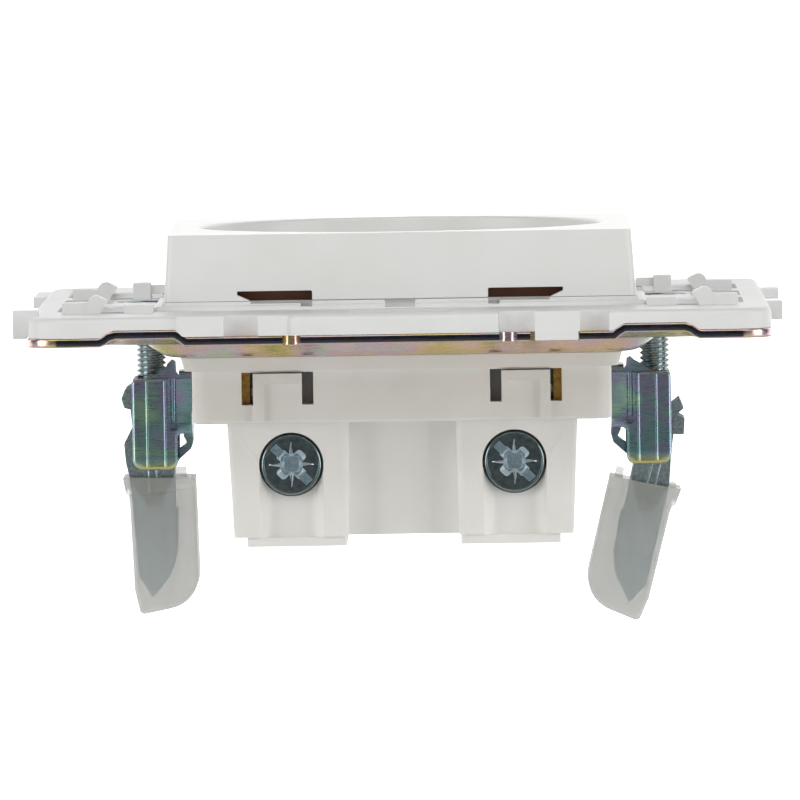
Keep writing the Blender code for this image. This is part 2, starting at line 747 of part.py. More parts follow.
def make_stirrup(name, side, finish):
    """Folded bracket: threaded top, two cheeks, and an inner wall that ends in a hook."""
    inner = STIRRUP_INNER_X
    outer = STIRRUP_OUTER_X[name]
    half = STIRRUP_HALF_Y
    sheet = STIRRUP_SHEET

    def across(low, high):
        return sorted((side * low, side * high))

    axis = joint_empty(f"stirrup_{name}_axis", (side * CLAW_X, 0, STIRRUP_SHOULDER))
    xs = across(inner, outer)
    top = box(
        f"stirrup_{name}", (xs[0], -half + 0.1, STIRRUP_SHOULDER), (xs[1], half - 0.1, STIRRUP_TOP)
    )
    corner = 0.9
    cheek_outline = [
        (inner, STIRRUP_TOP - 0.1),
        (outer, STIRRUP_TOP - 0.1),
        *arc((outer - corner, STIRRUP_BOTTOM + corner), corner, 0, -90, 3),
        *arc((inner + 1.4 + corner, STIRRUP_BOTTOM + corner), corner, -90, -180, 3),
        (inner + 1.4, -9.8),
        (inner, -9.8),
    ]
    for y in (-half + sheet / 2, half - sheet / 2):
        joined(top, outline("cheek", cheek_outline, sheet, upright(y, side)))
    xs = across(inner, inner + 0.9)
    joined(top, box("inner_wall", (xs[0], -half + 0.3, -9.6), (xs[1], half - 0.3, STIRRUP_TOP - 0.2)))
    hook = [
        (inner, -9.2),
        (inner + 0.9, -9.2),
        (inner + 0.9, -10.3),
        (inner + 1.4, -11.0),
        (inner + 1.4, -11.6),
        (inner + 0.7, -11.6),
        (inner, -10.7),
    ]
    joined(top, outline("hook", hook, 3.0, upright(0, side)))
    ear = [(21.7, STIRRUP_TOP - 0.4), (23.2, STIRRUP_TOP - 0.4), (22.6, -2.75), (22.3, -2.75)]
    joined(top, outline("ear", ear, 0.9, upright(half - sheet / 2, side)))
    hole = side * CLAW_X
    cut(top, cylinder("thread", (hole, 0, -6), (hole, 0, -3), CLAW_SCREW_RADIUS + 0.07))
    add_part(top, finish, False, axis)


def make_lever(name, side, finish):
    """Claw lever: two cheeks with teeth and a pointed tip, joined by a web on the outer side."""
    pivot_x, pivot_z = LEVER_PIVOT[name]
    axis = joint_empty(f"claw_lever_{name}_axis", (side * pivot_x, 0, pivot_z))
    cheek = [
        (4.75, 5.7),
        (5.15, 5.8),
        (5.5, 4.75),
        (6.2, 4.8),
        (6.45, 3.3),
        (5.45, 3.0),
        (5.5, 1.6),
        (5.9, 0.2),
        (6.1, -2.4),
        (5.55, -8.9),
        (4.8, -9.8),
        (4.8, -12.5),
        (5.45, -13.0),
        (4.75, -13.6),
        (4.15, -14.6),
        (3.5, -14.2),
        (1.7, -11.85),
        (1.35, -2.5),
        (1.25, -0.9),
        (3.6, 0.4),
    ]
    half = LEVER_HALF_Y
    sheet = LEVER_SHEET
    lever = claw_slab(f"claw_lever_{name}", name, side, cheek, -half, -half + sheet)
    web = [(5.25, -2.7), (6.03, -2.7), (5.5, -8.8), (4.45, -8.8)]
    joined(lever, claw_slab("web", name, side, web, -half + 0.2, half - 0.2))
    joined(lever, claw_slab("far_cheek", name, side, cheek, half - sheet, half))
    bridge = [(1.5, -6.0), (2.22, -6.0), (2.4, -10.4), (1.75, -10.4)]
    joined(lever, claw_slab("bridge", name, side, bridge, -half + 0.2, half - 0.2))
    add_part(lever, finish, False, axis)
    return axis


def make_sleeve(name, side, finish, axis):
    """Soft guard over the claw's point: a thin-walled pocket that is open at the top."""
    skin = [
        (6.67, -2.54),
        (6.39, -4.14),
        (6.15, -4.5),
        (6.1, -14.4),
        (5.0, -16.0),
        (4.4, -16.05),
        (2.8, -15.57),
        (1.26, -14.48),
        (0.23, -13.25),
        (-0.2, -11.7),
        (-0.34, -2.88),
    ]
    half = SLEEVE_HALF_Y
    sleeve = claw_slab(f"claw_sleeve_{name}", name, side, skin, -half, half)
    tab = [(0.3, -3.3), (1.0, -3.3), (1.0, -1.75), (0.3, -1.75)]
    joined(sleeve, claw_slab("tab", name, side, tab, -1.5, 1.5))
    room = [
        (6.37, -1.0),
        (6.37, -3.0),
        (5.85, -8.9),
        (5.75, -13.8),
        (4.4, -15.2),
        (3.2, -14.7),
        (1.35, -12.3),
        (1.02, -3.0),
        (1.02, -1.0),
    ]
    cut(sleeve, claw_slab("pocket", name, side, room, -half + SLEEVE_WALL, half - SLEEVE_WALL))
    add_part(sleeve, finish, False, axis)


# ---------------------------------------------------------------- whole object

def main():
    clear_scene()
    passivated = material("passivated_steel_plate", (0.55, 0.47, 0.28), 0.35, 1.0)
    white = material("white_thermoplastic", (0.80, 0.79, 0.76), 0.35)
    face_white = material("white_face_thermoplastic", (0.82, 0.82, 0.80), 0.3)
    base_white = material("white_base_thermoplastic", (0.74, 0.72, 0.68), 0.45)
    brass = material("brass_strip", (0.72, 0.50, 0.20), 0.3, 1.0)
    spring_steel = material("spring_steel", (0.45, 0.45, 0.46), 0.3, 1.0)
    zinc = material("blue_zinc_screw", (0.42, 0.48, 0.50), 0.3, 1.0)
    cage_zinc = material("zinc_cage", (0.45, 0.46, 0.46), 0.4, 1.0)
    stirrup_finish = material("iridescent_stirrup_steel", (0.25, 0.36, 0.38), 0.35, 1.0)
    lever_finish = material("zinc_lever_steel", (0.45, 0.50, 0.52), 0.35, 1.0)
    soft = material("translucent_polypropylene", (0.66, 0.68, 0.67), 0.5)
    grey_guide = material("natural_polyamide", (0.70, 0.68, 0.60), 0.5)
    make_support_plate(passivated)
    make_carrier_frame(white)
    make_socket_face(face_white)
    make_base_housing(base_white)
    make_shutter(face_white, spring_steel, grey_guide)
    for name, side in (("L", -1), ("R", 1)):
        make_contact(name, side, brass, spring_steel)
        make_terminal(name, side, zinc, cage_zinc)
        make_claw_screw(name, side, zinc)
        make_stirrup(name, side, stirrup_finish)
        axis = make_lever(name, side, lever_finish)
        make_sleeve(name, side, soft, axis)


if __name__ == "__main__":
    main()
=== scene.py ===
"""Flush wall socket mechanism with claw fixing: its visible pieces, built round the packed frame.

Laid out as an add-on and run as a script. Lengths in the builders are millimetres, written in the
frame's own axes: +Z out of the wall, +X from claw to claw, and the terminal screws face -Y.
"""

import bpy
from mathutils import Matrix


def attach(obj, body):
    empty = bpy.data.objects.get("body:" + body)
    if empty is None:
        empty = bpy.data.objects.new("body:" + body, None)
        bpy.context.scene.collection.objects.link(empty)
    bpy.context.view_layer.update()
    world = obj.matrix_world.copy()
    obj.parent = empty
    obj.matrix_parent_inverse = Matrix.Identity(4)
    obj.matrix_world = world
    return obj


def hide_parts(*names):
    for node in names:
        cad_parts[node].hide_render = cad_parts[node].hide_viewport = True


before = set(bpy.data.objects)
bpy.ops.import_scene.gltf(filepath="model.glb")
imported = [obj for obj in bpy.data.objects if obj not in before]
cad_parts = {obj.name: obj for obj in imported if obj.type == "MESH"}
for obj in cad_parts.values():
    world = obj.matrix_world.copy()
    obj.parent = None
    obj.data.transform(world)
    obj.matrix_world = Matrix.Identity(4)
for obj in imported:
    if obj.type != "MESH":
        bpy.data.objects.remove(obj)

import ast
import math
import textwrap

import bmesh
import bpy
from mathutils import Matrix, Vector

bl_info = {
    "name": "Wall Socket Mechanism",
    "version": (1, 0, 0),
    "blender": (4, 5, 0),
    "location": "View3D > Sidebar > Socket",
    "description": "Builds the pieces of a flush wall socket mechanism with claw fixing",
    "category": "Add Mesh",
}

MM = 0.001


# ---------------------------------------------------------------- colour and nodes

def linear(code):
    """The linear colour of an sRGB hex code such as 'E8E6E0'."""
    channels = [int(code[i:i + 2], 16) / 255 for i in (0, 2, 4)]
    return tuple(c / 12.92 if c <= 0.04045 else ((c + 0.055) / 1.055) ** 2.4 for c in channels)


def add_node(tree, kind, settings=None, inputs=None):
    """Adds a node. Settings are its properties; inputs are socket values, or sockets that feed them."""
    node = tree.nodes.new(kind)
    for key, value in (settings or {}).items():
        setattr(node, key, value)
    for key, value in (inputs or {}).items():
        socket = node.inputs[key]
        if isinstance(value, bpy.types.NodeSocket):
            tree.links.new(value, socket)
        else:
            socket.default_value = value
    return node


def fill_ramp(node, stops):
    """Sets a colour ramp's stops from (position, hex code or grey value) pairs."""
    ramp = node.color_ramp
    while len(ramp.elements) < len(stops):
        ramp.elements.new(0.5)
    for element, (position, colour) in zip(ramp.elements, stops):
        element.position = position
        channels = linear(colour) if isinstance(colour, str) else (colour,) * 3
        element.color = (*channels, 1.0)
    return node


def new_material(name, roughness, metallic=0.0):
    """A material with an empty Principled shader: its tree, shader and Object coordinates."""
    made = bpy.data.materials.new(name)
    made.use_nodes = True
    tree = made.node_tree
    tree.nodes.clear()
    shader = add_node(
        tree, "ShaderNodeBsdfPrincipled", inputs={"Roughness": roughness, "Metallic": metallic}
    )
    add_node(tree, "ShaderNodeOutputMaterial", inputs={"Surface": shader.outputs["BSDF"]})
    place = add_node(tree, "ShaderNodeTexCoord").outputs["Object"]
    return made, tree, shader, place


def add_noise(tree, place, grain_mm, detail=3.0, stretch=(1, 1, 1)):
    """Noise whose lumps are about grain_mm across, drawn out along an axis by stretch."""
    scale = [1 / (grain_mm * MM * s) for s in stretch]
    spread = add_node(tree, "ShaderNodeMapping", inputs={"Vector": place, "Scale": scale})
    return add_node(
        tree,
        "ShaderNodeTexNoise",
        inputs={"Vector": spread.outputs["Vector"], "Scale": 1.0, "Detail": detail},
    ).outputs["Fac"]


def add_bump(tree, shader, height, depth_mm):
    bump = add_node(tree, "ShaderNodeBump", inputs={"Height": height, "Distance": depth_mm * MM})
    tree.links.new(bump.outputs["Normal"], shader.inputs["Normal"])


def vary_roughness(tree, shader, noise, low, high):
    worn = add_node(tree, "ShaderNodeMapRange", inputs={"Value": noise, "To Min": low, "To Max": high})
    tree.links.new(worn.outputs["Result"], shader.inputs["Roughness"])


def tint(tree, factor, stops):
    return fill_ramp(add_node(tree, "ShaderNodeValToRGB", inputs={"Fac": factor}), stops)


def moulded_plastic(name, light, dark, roughness, grain_mm):
    """Injection-moulded white plastic: a very slight cloudiness from the melt flow, and the fine
    spark-eroded skin of the mould, which gives the eye a soft silk gloss and no sparkle."""
    made, tree, shader, place = new_material(name, roughness)
    cloud = add_noise(tree, place, 6.0)
    colour = tint(tree, cloud, [(0.3, dark), (0.7, light)])
    tree.links.new(colour.outputs["Color"], shader.inputs["Base Color"])
    shader.inputs["IOR"].default_value = 1.53
    skin = add_noise(tree, place, grain_mm, 2.0)
    vary_roughness(tree, shader, skin, roughness - 0.05, roughness + 0.07)
    add_bump(tree, shader, skin, 0.004)
    return made


def passivated_steel(name, stops, patch_mm, roughness, stripe_mm, stretch, bands, edge=None):
    """Zinc-plated sheet with a thick chromate film: interference colours drift over it in patches
    a few millimetres wide, and fine drawing lines break up its reflections."""
    made, tree, shader, place = new_material(name, roughness, 1.0)
    patches = add_noise(tree, place, patch_mm, 2.0)
    lines = add_noise(tree, place, stripe_mm, 3.0, stretch)
    drift = add_node(
        tree,
        "ShaderNodeMath",
        {"operation": "MULTIPLY_ADD"},
        {0: lines, 1: 0.22, 2: patches},
    )
    spread = add_node(
        tree,
        "ShaderNodeMapRange",
        inputs={"Value": drift.outputs[0], "From Min": 0.38, "From Max": 0.86},
    )
    colour = tint(tree, spread.outputs["Result"], stops).outputs["Color"]
    if bands:
        colour = add_bands(tree, place, colour, *bands)
    # Painted reflection: the sheet's cut faces drawn dark.
    if edge:
        colour = paint_dark_edge_reflection(tree, place, colour, *edge)
    tree.links.new(colour, shader.inputs["Base Color"])
    vary_roughness(tree, shader, lines, roughness - 0.08, roughness + 0.12)
    add_bump(tree, shader, lines, 0.006)
    return made


def paint_dark_edge_reflection(tree, place, colour, half_mm, code):
    """Mixes in the dark, thick film that gathers on the sheared faces of a square blank."""
    part = add_node(tree, "ShaderNodeSeparateXYZ", inputs={"Vector": place})
    wide = add_node(tree, "ShaderNodeMath", {"operation": "ABSOLUTE"}, {0: part.outputs["X"]})
    deep = add_node(tree, "ShaderNodeMath", {"operation": "ABSOLUTE"}, {0: part.outputs["Y"]})
    reach = add_node(
        tree, "ShaderNodeMath", {"operation": "MAXIMUM"}, {0: wide.outputs[0], 1: deep.outputs[0]}
    )
    share = add_node(
        tree,
        "ShaderNodeMapRange",
        inputs={"Value": reach.outputs[0], "From Min": half_mm * MM, "From Max": (half_mm + 0.015) * MM},
    ).outputs["Result"]
    dark = (*linear(code), 1.0)
    return add_node(
        tree, "ShaderNodeMix", {"data_type": "RGBA"}, {0: share, 6: colour, 7: dark}
    ).outputs[2]


def add_bands(tree, place, colour, low_mm, high_mm, stops):
    """Mixes in a run of film colours by height, from low_mm up to high_mm, which fades out at the top."""
    height = add_node(tree, "ShaderNodeSeparateXYZ", inputs={"Vector": place}).outputs["Z"]
    level = add_node(
        tree,
        "ShaderNodeMapRange",
        inputs={"Value": height, "From Min": low_mm * MM, "From Max": high_mm * MM},
    ).outputs["Result"]
    film = tint(tree, level, stops).outputs["Color"]
    share = tint(tree, level, [(0.0, 0.9), (0.55, 0.75), (1.0, 0.0)]).outputs["Color"]
    return add_node(
        tree, "ShaderNodeMix", {"data_type": "RGBA"}, {0: share, 6: colour, 7: film}
    ).outputs[2]


def plated_metal(name, light, dark, roughness, grain_mm=0.25):
    """A plated or rolled metal: tone and gloss wander a little over tenths of a millimetre, as
    plating follows the worked surface under it."""
    made, tree, shader, place = new_material(name, roughness, 1.0)
    grain = add_noise(tree, place, grain_mm)
    colour = tint(tree, grain, [(0.3, dark), (0.72, light)])
    tree.links.new(colour.outputs["Color"], shader.inputs["Base Color"])
    vary_roughness(tree, shader, grain, roughness - 0.07, roughness + 0.1)
    add_bump(tree, shader, grain, 0.005)
    return made


def milky_polypropylene(name, light, dark, alpha):
    """Unpigmented polypropylene: a thin milky wall that blurs what lies behind it, with faint flow
    clouds along its length and a waxy, half-matt skin."""
    made, tree, shader, place = new_material(name, 0.42)
    cloud = add_noise(tree, place, 1.6, 2.0, (1, 1, 4))
    colour = tint(tree, cloud, [(0.3, dark), (0.7, light)])
    tree.links.new(colour.outputs["Color"], shader.inputs["Base Color"])
    shader.inputs["IOR"].default_value = 1.49
    shader.inputs["Alpha"].default_value = alpha
    add_bump(tree, shader, cloud, 0.01)
    return made


# ---------------------------------------------------------------- outlines and solids

def rounded(corners, steps=5):
    """An outline from corners (x, y) or (x, y, radius); a radius is drawn as an arc."""
    points = []
    count = len(corners)
    for i, (x, y, *radius) in enumerate(corners):
        if not radius or not radius[0]:
            points.append((x, y))
            continue
        here = Vector((x, y))
        before = (Vector(corners[i - 1][:2]) - here).normalized()
        after = (Vector(corners[(i + 1) % count][:2]) - here).normalized()
        half = before.angle(after) / 2
        centre = here + (before + after).normalized() * radius[0] / math.sin(half)
        reach = radius[0] / math.tan(half)
        start = here + before * reach - centre
        end = here + after * reach - centre
        first = math.atan2(start.y, start.x)
        sweep = (math.atan2(end.y, end.x) - first + math.pi) % math.tau - math.pi
        for k in range(steps + 1):
            angle = first + sweep * k / steps
            points.append(
                (centre.x + radius[0] * math.cos(angle), centre.y + radius[0] * math.sin(angle))
            )
    return points


def square(half, corner=0.0, half_y=None):
    half_y = half if half_y is None else half_y
    signs = ((1, 1), (-1, 1), (-1, -1), (1, -1))
    return rounded([(half * sx, half_y * sy, corner) for sx, sy in signs])


def new_solid(name, bm):
    """An object in the scene from a bmesh in millimetres."""
    bmesh.ops.recalc_face_normals(bm, faces=bm.faces)
    bmesh.ops.scale(bm, vec=(MM, MM, MM), verts=bm.verts)
    mesh = bpy.data.meshes.new(name)
    bm.to_mesh(mesh)
    bm.free()
    obj = bpy.data.objects.new(name, mesh)
    bpy.context.scene.collection.objects.link(obj)
    return obj


def round_edges(bm, edges, radius, segments, clamp):
    bmesh.ops.bevel(
        bm, geom=edges, offset=radius, segments=segments, profile=0.5, affect="EDGES",
        clamp_overlap=clamp, loop_slide=False,
    )


PLANES = {
    "XY": lambda a, b, c: (a, b, c),
    "XZ": lambda a, b, c: (a, c, b),
    "YZ": lambda a, b, c: (c, a, b),
}


def prism(points, low, high, plane="XY", round_high=0.0, round_low=0.0):
    """A straight-sided solid: an outline in the plane, pushed from low to high, with either rim
    rounded."""
    place = PLANES[plane]
    bm = bmesh.new()
    base = bm.faces.new([bm.verts.new(place(a, b, low)) for a, b in points])
    grown = bmesh.ops.extrude_face_region(bm, geom=[base])["geom"]
    top = [v for v in grown if isinstance(v, bmesh.types.BMVert)]
    bmesh.ops.translate(bm, vec=Vector(place(0, 0, high - low)), verts=top)
    bmesh.ops.recalc_face_normals(bm, faces=bm.faces)
    level = Vector(place(0, 0, 1))
    for at, radius in ((high, round_high), (low, round_low)):
        if radius:
            rim = [e for e in bm.edges if all(abs(v.co.dot(level) - at) < 1e-5 for v in e.verts)]
            round_edges(bm, rim, radius, 4, False)
    return new_solid("prism", bm)


def block(low, high):
    xs, ys, zs = zip(low, high)
    outline = [(min(xs), min(ys)), (max(xs), min(ys)), (max(xs), max(ys)), (min(xs), max(ys))]
    return prism(outline, min(zs), max(zs))


def loft(sections):
    """A closed solid through level outlines of one point count, given as (height, points)."""
    bm = bmesh.new()
    rings = [[bm.verts.new((x, y, z)) for x, y in points] for z, points in sections]
    for lower, upper in zip(rings, rings[1:]):
        for i in range(len(lower)):
            j = (i + 1) % len(lower)
            bm.faces.new((lower[i], lower[j], upper[j], upper[i]))
    bm.faces.new(list(reversed(rings[0])))
    bm.faces.new(rings[-1])
    return new_solid("loft", bm)


def rod(start, end, radius, end_radius=None, sides=32):
    """A cylinder, or a cone frustum, from start to end."""
    start = Vector(start)
    along = Vector(end) - start
    bm = bmesh.new()
    bmesh.ops.create_cone(
        bm,
        cap_ends=True,
        segments=sides,
        radius1=radius,
        radius2=radius if end_radius is None else end_radius,
        depth=along.length,
    )
    turn = along.to_track_quat("Z", "Y").to_matrix().to_4x4()
    bmesh.ops.transform(bm, matrix=Matrix.Translation(start + along / 2) @ turn, verts=bm.verts)
    return new_solid("rod", bm)


def turned(profile, sides):
    """A solid turned about Z from (radius, height) pairs, first and last on the axis."""
    bm = bmesh.new()
    rings = []
    for radius, height in profile:
        if radius == 0:
            rings.append([bm.verts.new((0, 0, height))] * sides)
            continue
        angles = [math.tau * i / sides for i in range(sides)]
        rings.append([bm.verts.new((radius * math.cos(t), radius * math.sin(t), height)) for t in angles])
    for lower, upper in zip(rings, rings[1:]):
        for i in range(sides):
            j = (i + 1) % sides
            corners = list(dict.fromkeys((lower[i], lower[j], upper[j], upper[i])))
            if len(corners) > 2:
                bm.faces.new(corners)
    return new_solid("turned", bm)


def settled(name, obj):
    """The object with its modifiers made into a plain mesh."""
    graph = bpy.context.evaluated_depsgraph_get()
    mesh = bpy.data.meshes.new_from_object(obj.evaluated_get(graph))
    matrix = obj.matrix_world.copy()
    bpy.data.objects.remove(obj, do_unlink=True)
    mesh.transform(matrix)
    mesh.name = name
    made = bpy.data.objects.new(name, mesh)
    bpy.context.scene.collection.objects.link(made)
    return made


def combined(name, first, joins=(), cuts=()):
    """One closed mesh: the first solid, joined with some and then cut by others."""
    for operation, tools in (("UNION", joins), ("DIFFERENCE", cuts)):
        for tool in tools:
            change = first.modifiers.new(operation, "BOOLEAN")
            change.operation = operation
            change.solver = "MANIFOLD"
            change.object = tool
    made = settled(name, first)
    for tool in (*joins, *cuts):
        bpy.data.objects.remove(tool, do_unlink=True)
    return made


def softened(obj, radius, segments=2, limit=32):
    """Rounds each edge that is sharper than limit and has room for it, as a mould's or a press
    tool's edges are, and weights the normals so that flat faces stay flat."""
    bm = bmesh.new()
    bm.from_mesh(obj.data)
    bmesh.ops.remove_doubles(bm, verts=bm.verts, dist=1e-6)
    bmesh.ops.dissolve_limit(bm, angle_limit=math.radians(0.5), verts=bm.verts, edges=bm.edges)
    room = {v: min(e.calc_length() for e in v.link_edges) for v in bm.verts if v.link_edges}
    edges = [
        e
        for e in bm.edges
        if e.is_manifold
        and abs(e.calc_face_angle_signed()) > math.radians(limit)
        and min(room[v] for v in e.verts) > 2.1 * radius * MM
    ]
    round_edges(bm, edges, radius * MM, segments, True)
    bmesh.ops.triangulate(bm, faces=[f for f in bm.faces if len(f.verts) > 4])
    bm.to_mesh(obj.data)
    bm.free()
    obj.data.shade_smooth()
    obj.data.set_sharp_from_angle(angle=math.radians(50))
    normals = obj.modifiers.new("weighted normals", "WEIGHTED_NORMAL")
    normals.keep_sharp = True
    return settled(obj.name, obj)


def mirrored(obj, side):
    """Puts a piece drawn on the +X side on the given side."""
    if side < 0:
        obj.data.transform(Matrix.Diagonal((-1, 1, 1, 1)))
        obj.data.flip_normals()
    return obj


def both(low, high):
    """A range of X and the same range on the other side."""
    return ((low, high), (-high, -low))


def smooth_step(value, start, end):
    share = min(1.0, max(0.0, (value - start) / (end - start)))
    return share * share * (3 - 2 * share)


# ---------------------------------------------------------------- geometry node trees

def geometry_tree(name, inputs):
    """A Geometry Nodes tree with named inputs: the tree and its inputs' sockets by name."""
    tree = bpy.data.node_groups.new(name, "GeometryNodeTree")
    tree.interface.new_socket("Geometry", in_out="OUTPUT", socket_type="NodeSocketGeometry")
    for label, kind in inputs:
        tree.interface.new_socket(label, in_out="INPUT", socket_type=kind)
    entry = add_node(tree, "NodeGroupInput")
    return tree, entry.outputs


def end_tree(tree, geometry, material):
    """Realizes, gives the material and ends the tree."""
    real = add_node(tree, "GeometryNodeRealizeInstances", inputs={"Geometry": geometry})
    finish = add_node(
        tree,
        "GeometryNodeSetMaterial",
        inputs={"Geometry": real.outputs["Geometry"], "Material": material},
    )
    add_node(tree, "NodeGroupOutput", inputs={"Geometry": finish.outputs["Geometry"]})


def grown(name, tree, values):
    """A plain mesh made by a Geometry Nodes tree from its named inputs' values."""
    obj = bpy.data.objects.new(name, bpy.data.meshes.new(name))
    bpy.context.scene.collection.objects.link(obj)
    change = obj.modifiers.new("geometry", "NODES")
    change.node_group = tree
    for item in tree.interface.items_tree:
        if item.in_out == "INPUT":
            change[item.identifier] = values[item.name]
    return settled(name, obj)


SIGNS = {ast.Add: "ADD", ast.Sub: "SUBTRACT", ast.Mult: "MULTIPLY", ast.Div: "DIVIDE"}
RANGE_INPUTS = ("Value", "From Min", "From Max", "To Min", "To Max")


def add_formulas(tree, values, lines):
    """Adds the nodes for lines such as 'span = sqrt(a * a + b)'. A name stands for a socket or a
    number in values, which gains each line's result. A function is a Math operation, or a Map Range
    where it is called linear or smoothstep."""

    def result(term):
        if isinstance(term, ast.Constant):
            return term.value
        if isinstance(term, ast.Name):
            return values[term.id]
        if isinstance(term, ast.UnaryOp):
            return -term.operand.value
        if isinstance(term, ast.BinOp):
            kind, terms = SIGNS[type(term.op)], (term.left, term.right)
        else:
            kind, terms = term.func.id.upper(), term.args
        found = [result(t) for t in terms]
        if kind in ("LINEAR", "SMOOTHSTEP"):
            inputs = dict(zip(RANGE_INPUTS, found))
            return add_node(tree, "ShaderNodeMapRange", {"interpolation_type": kind}, inputs).outputs[0]
        return add_node(tree, "ShaderNodeMath", {"operation": kind}, dict(enumerate(found))).outputs[0]

    for line in ast.parse(textwrap.dedent(lines)).body:
        values[line.targets[0].id] = result(line.value)
    return values


def start_tree(name, lengths, count):
    """A tree with named length inputs, a count and a material: the tree, its inputs' sockets, and
    the start of its formulas' values."""
    inputs = [(label, "NodeSocketFloat") for label in lengths]
    sockets = (*inputs, (count, "NodeSocketInt"), ("Material", "NodeSocketMaterial"))
    tree, given = geometry_tree(name, sockets)
    place = add_node(tree, "GeometryNodeInputPosition").outputs["Position"]
    part = add_node(tree, "ShaderNodeSeparateXYZ", inputs={"Vector": place})
    values = {axis: part.outputs[axis.upper()] for axis in "xyz"}
    values |= {label.lower().replace(" ", "_"): given[label] for label in lengths}
    return tree, given, values


def move_points(tree, mesh, x, y, z):
    """The mesh with its points moved to x, y and z."""
    moved = add_node(tree, "ShaderNodeCombineXYZ", inputs={"X": x, "Y": y, "Z": z}).outputs["Vector"]
    return add_node(
        tree, "GeometryNodeSetPosition", inputs={"Geometry": mesh, "Position": moved}
    ).outputs["Geometry"]


def thread_tree():
    """A rolled thread: a fine cylinder whose radius falls and rises along a helix, with a dog point."""
    tree, given, values = start_tree(
        "rolled_thread", ("Radius", "Depth", "Pitch", "Length", "Point"), "Rings"
    )
    size = {"Side Segments": given["Rings"], "Radius": given["Radius"], "Depth": given["Length"]}
    body = add_node(tree, "GeometryNodeMeshCylinder", inputs={"Vertices": 40, **size})
    values["tau"] = math.tau
    add_formulas(tree, values, """
        wave = pingpong(z / pitch - arctan2(y, x) / tau, 0.5)
        thread = 1.0 - depth / radius * linear(wave, 0.06, 0.44, 1.0, 0.0)
        foot = length * -0.5
        scale = thread * linear(z, foot, foot + point, 0.55, 1.0)
        cut_x = x * scale
        cut_y = y * scale
    """)
    cut = move_points(tree, body.outputs["Mesh"], values["cut_x"], values["cut_y"], values["z"])
    end_tree(tree, cut, given["Material"])
    return tree


def pressing_tree():
    """A pressed square sheet: a flat grid with rounded corners, sunk into a square well, and with
    raised joggles at the near edge. It is the underside of the sheet; thickness comes after."""
    tree, given, values = start_tree(
        "pressed_plate",
        ("Side", "Corner", "Well Depth", "Well Floor", "Well Rim", "Well Corner", "Joggle Rise",
         "Joggle From", "Joggle To", "Joggle Reach"),
        "Rows",
    )
    size = {"Size X": given["Side"], "Size Y": given["Side"]}
    rows = {"Vertices X": given["Rows"], "Vertices Y": given["Rows"]}
    sheet = add_node(tree, "GeometryNodeMeshGrid", inputs={**size, **rows})
    values |= {"right_angle": math.pi / 2, "half_right": math.pi / 4}
    # Plan: points in each corner square are drawn in onto quarter circles.
    add_formulas(tree, values, """
        wide = absolute(x)
        deep = absolute(y)
        half = side * 0.5
        inner = half - corner
        u = maximum(wide - inner, 0.0)
        v = maximum(deep - inner, 0.0)
        reach = maximum(u, v)
        even = minimum(u, v) / maximum(reach, 1e-9) * half_right
        turned_back = right_angle - even
        steep = greater_than(arctan2(v, u), half_right)
    """)
    choice = {0: values["steep"], 2: values["even"], 3: values["turned_back"]}
    values["turn"] = add_node(tree, "ShaderNodeMix", {"data_type": "FLOAT"}, choice).outputs[0]
    # Well: depth falls off with the distance from a rounded square.
    # Joggles: two raised stretches of the near edge.
    add_formulas(tree, values, """
        plan_x = sign(x) * (minimum(wide, inner) + reach * cosine(turn))
        plan_y = sign(y) * (minimum(deep, inner) + reach * sine(turn))
        knee = well_floor - well_corner
        out_x = maximum(wide - knee, 0.0)
        out_y = maximum(deep - knee, 0.0)
        ring = knee + sqrt(out_x * out_x + out_y * out_y)
        sunk = well_depth * smoothstep(ring, well_floor, well_rim, -1.0, 0.0)
        up = smoothstep(wide, joggle_from - 0.0009, joggle_from, 0.0, 1.0)
        down = smoothstep(wide, joggle_to, joggle_to + 0.0014, 1.0, 0.0)
        edge = half * -1.0
        near = smoothstep(y, edge + 0.0006, edge + joggle_reach, 1.0, 0.0)
        height = sunk + up * down * near * joggle_rise
    """)
    mesh = sheet.outputs["Mesh"]
    pressed = move_points(tree, mesh, values["plan_x"], values["plan_y"], values["height"])
    end_tree(tree, pressed, given["Material"])
    return tree


# ---------------------------------------------------------------- properties

def number(label, text, default, **settings):
    return bpy.props.FloatProperty(name=label, description=text, default=default, **settings)


def length(label, text, default_mm):
    return number(label, text, default_mm * MM, min=0.0, unit="LENGTH", precision=5)


def colour(label, text, code):
    return bpy.props.FloatVectorProperty(
        name=label, description=text, default=linear(code), size=3, min=0.0, max=1.0, subtype="COLOR"
    )


class SocketSizes(bpy.types.PropertyGroup):
    """Sizes that a maker would change."""

    mould_edge: length("Mould edge", "Rounding of the plastic pieces' edges", 0.14)
    sheet_thickness: length("Sheet thickness", "Thickness of the steel support plate", 0.85)
    sheet_edge: length("Sheet edge", "Rounding of the stamped steel's edges", 0.17)
    well_depth: length("Well depth", "Depth of the support plate's drawn well", 1.75)
    claw_pitch: length("Claw thread pitch", "Pitch of the two claw screws", 0.5)
    terminal_pitch: length("Terminal thread pitch", "Pitch of the two terminal screws", 0.6)
    thread_depth: length("Thread depth", "Depth of the rolled threads", 0.27)


class SocketColours(bpy.types.PropertyGroup):
    """Colours that a maker would change."""

    floor: colour("Floor", "Pale studio floor and backdrop", "E2E2E1")


class StageSettings(bpy.types.PropertyGroup):
    """Where the camera stands."""

    azimuth: number("Azimuth", "Camera's turn round the socket", math.radians(0.4418), subtype="ANGLE")
    elevation: number("Elevation", "Camera's height above level", math.radians(2.8577), subtype="ANGLE")
    roll: number("Roll", "Camera's tilt about its own axis", math.radians(-0.8855), subtype="ANGLE")
    distance: number("Distance", "Camera's distance from its aim", 1.2306, unit="LENGTH")
    lens: number("Lens", "Focal length for a 36 mm sensor", 566.2, unit="CAMERA")
    aim_x: number("Aim X", "Camera's aim along X", -0.000335, unit="LENGTH", precision=6)
    aim_z: number("Aim Z", "Camera's aim along Z", -0.007177, unit="LENGTH", precision=6)


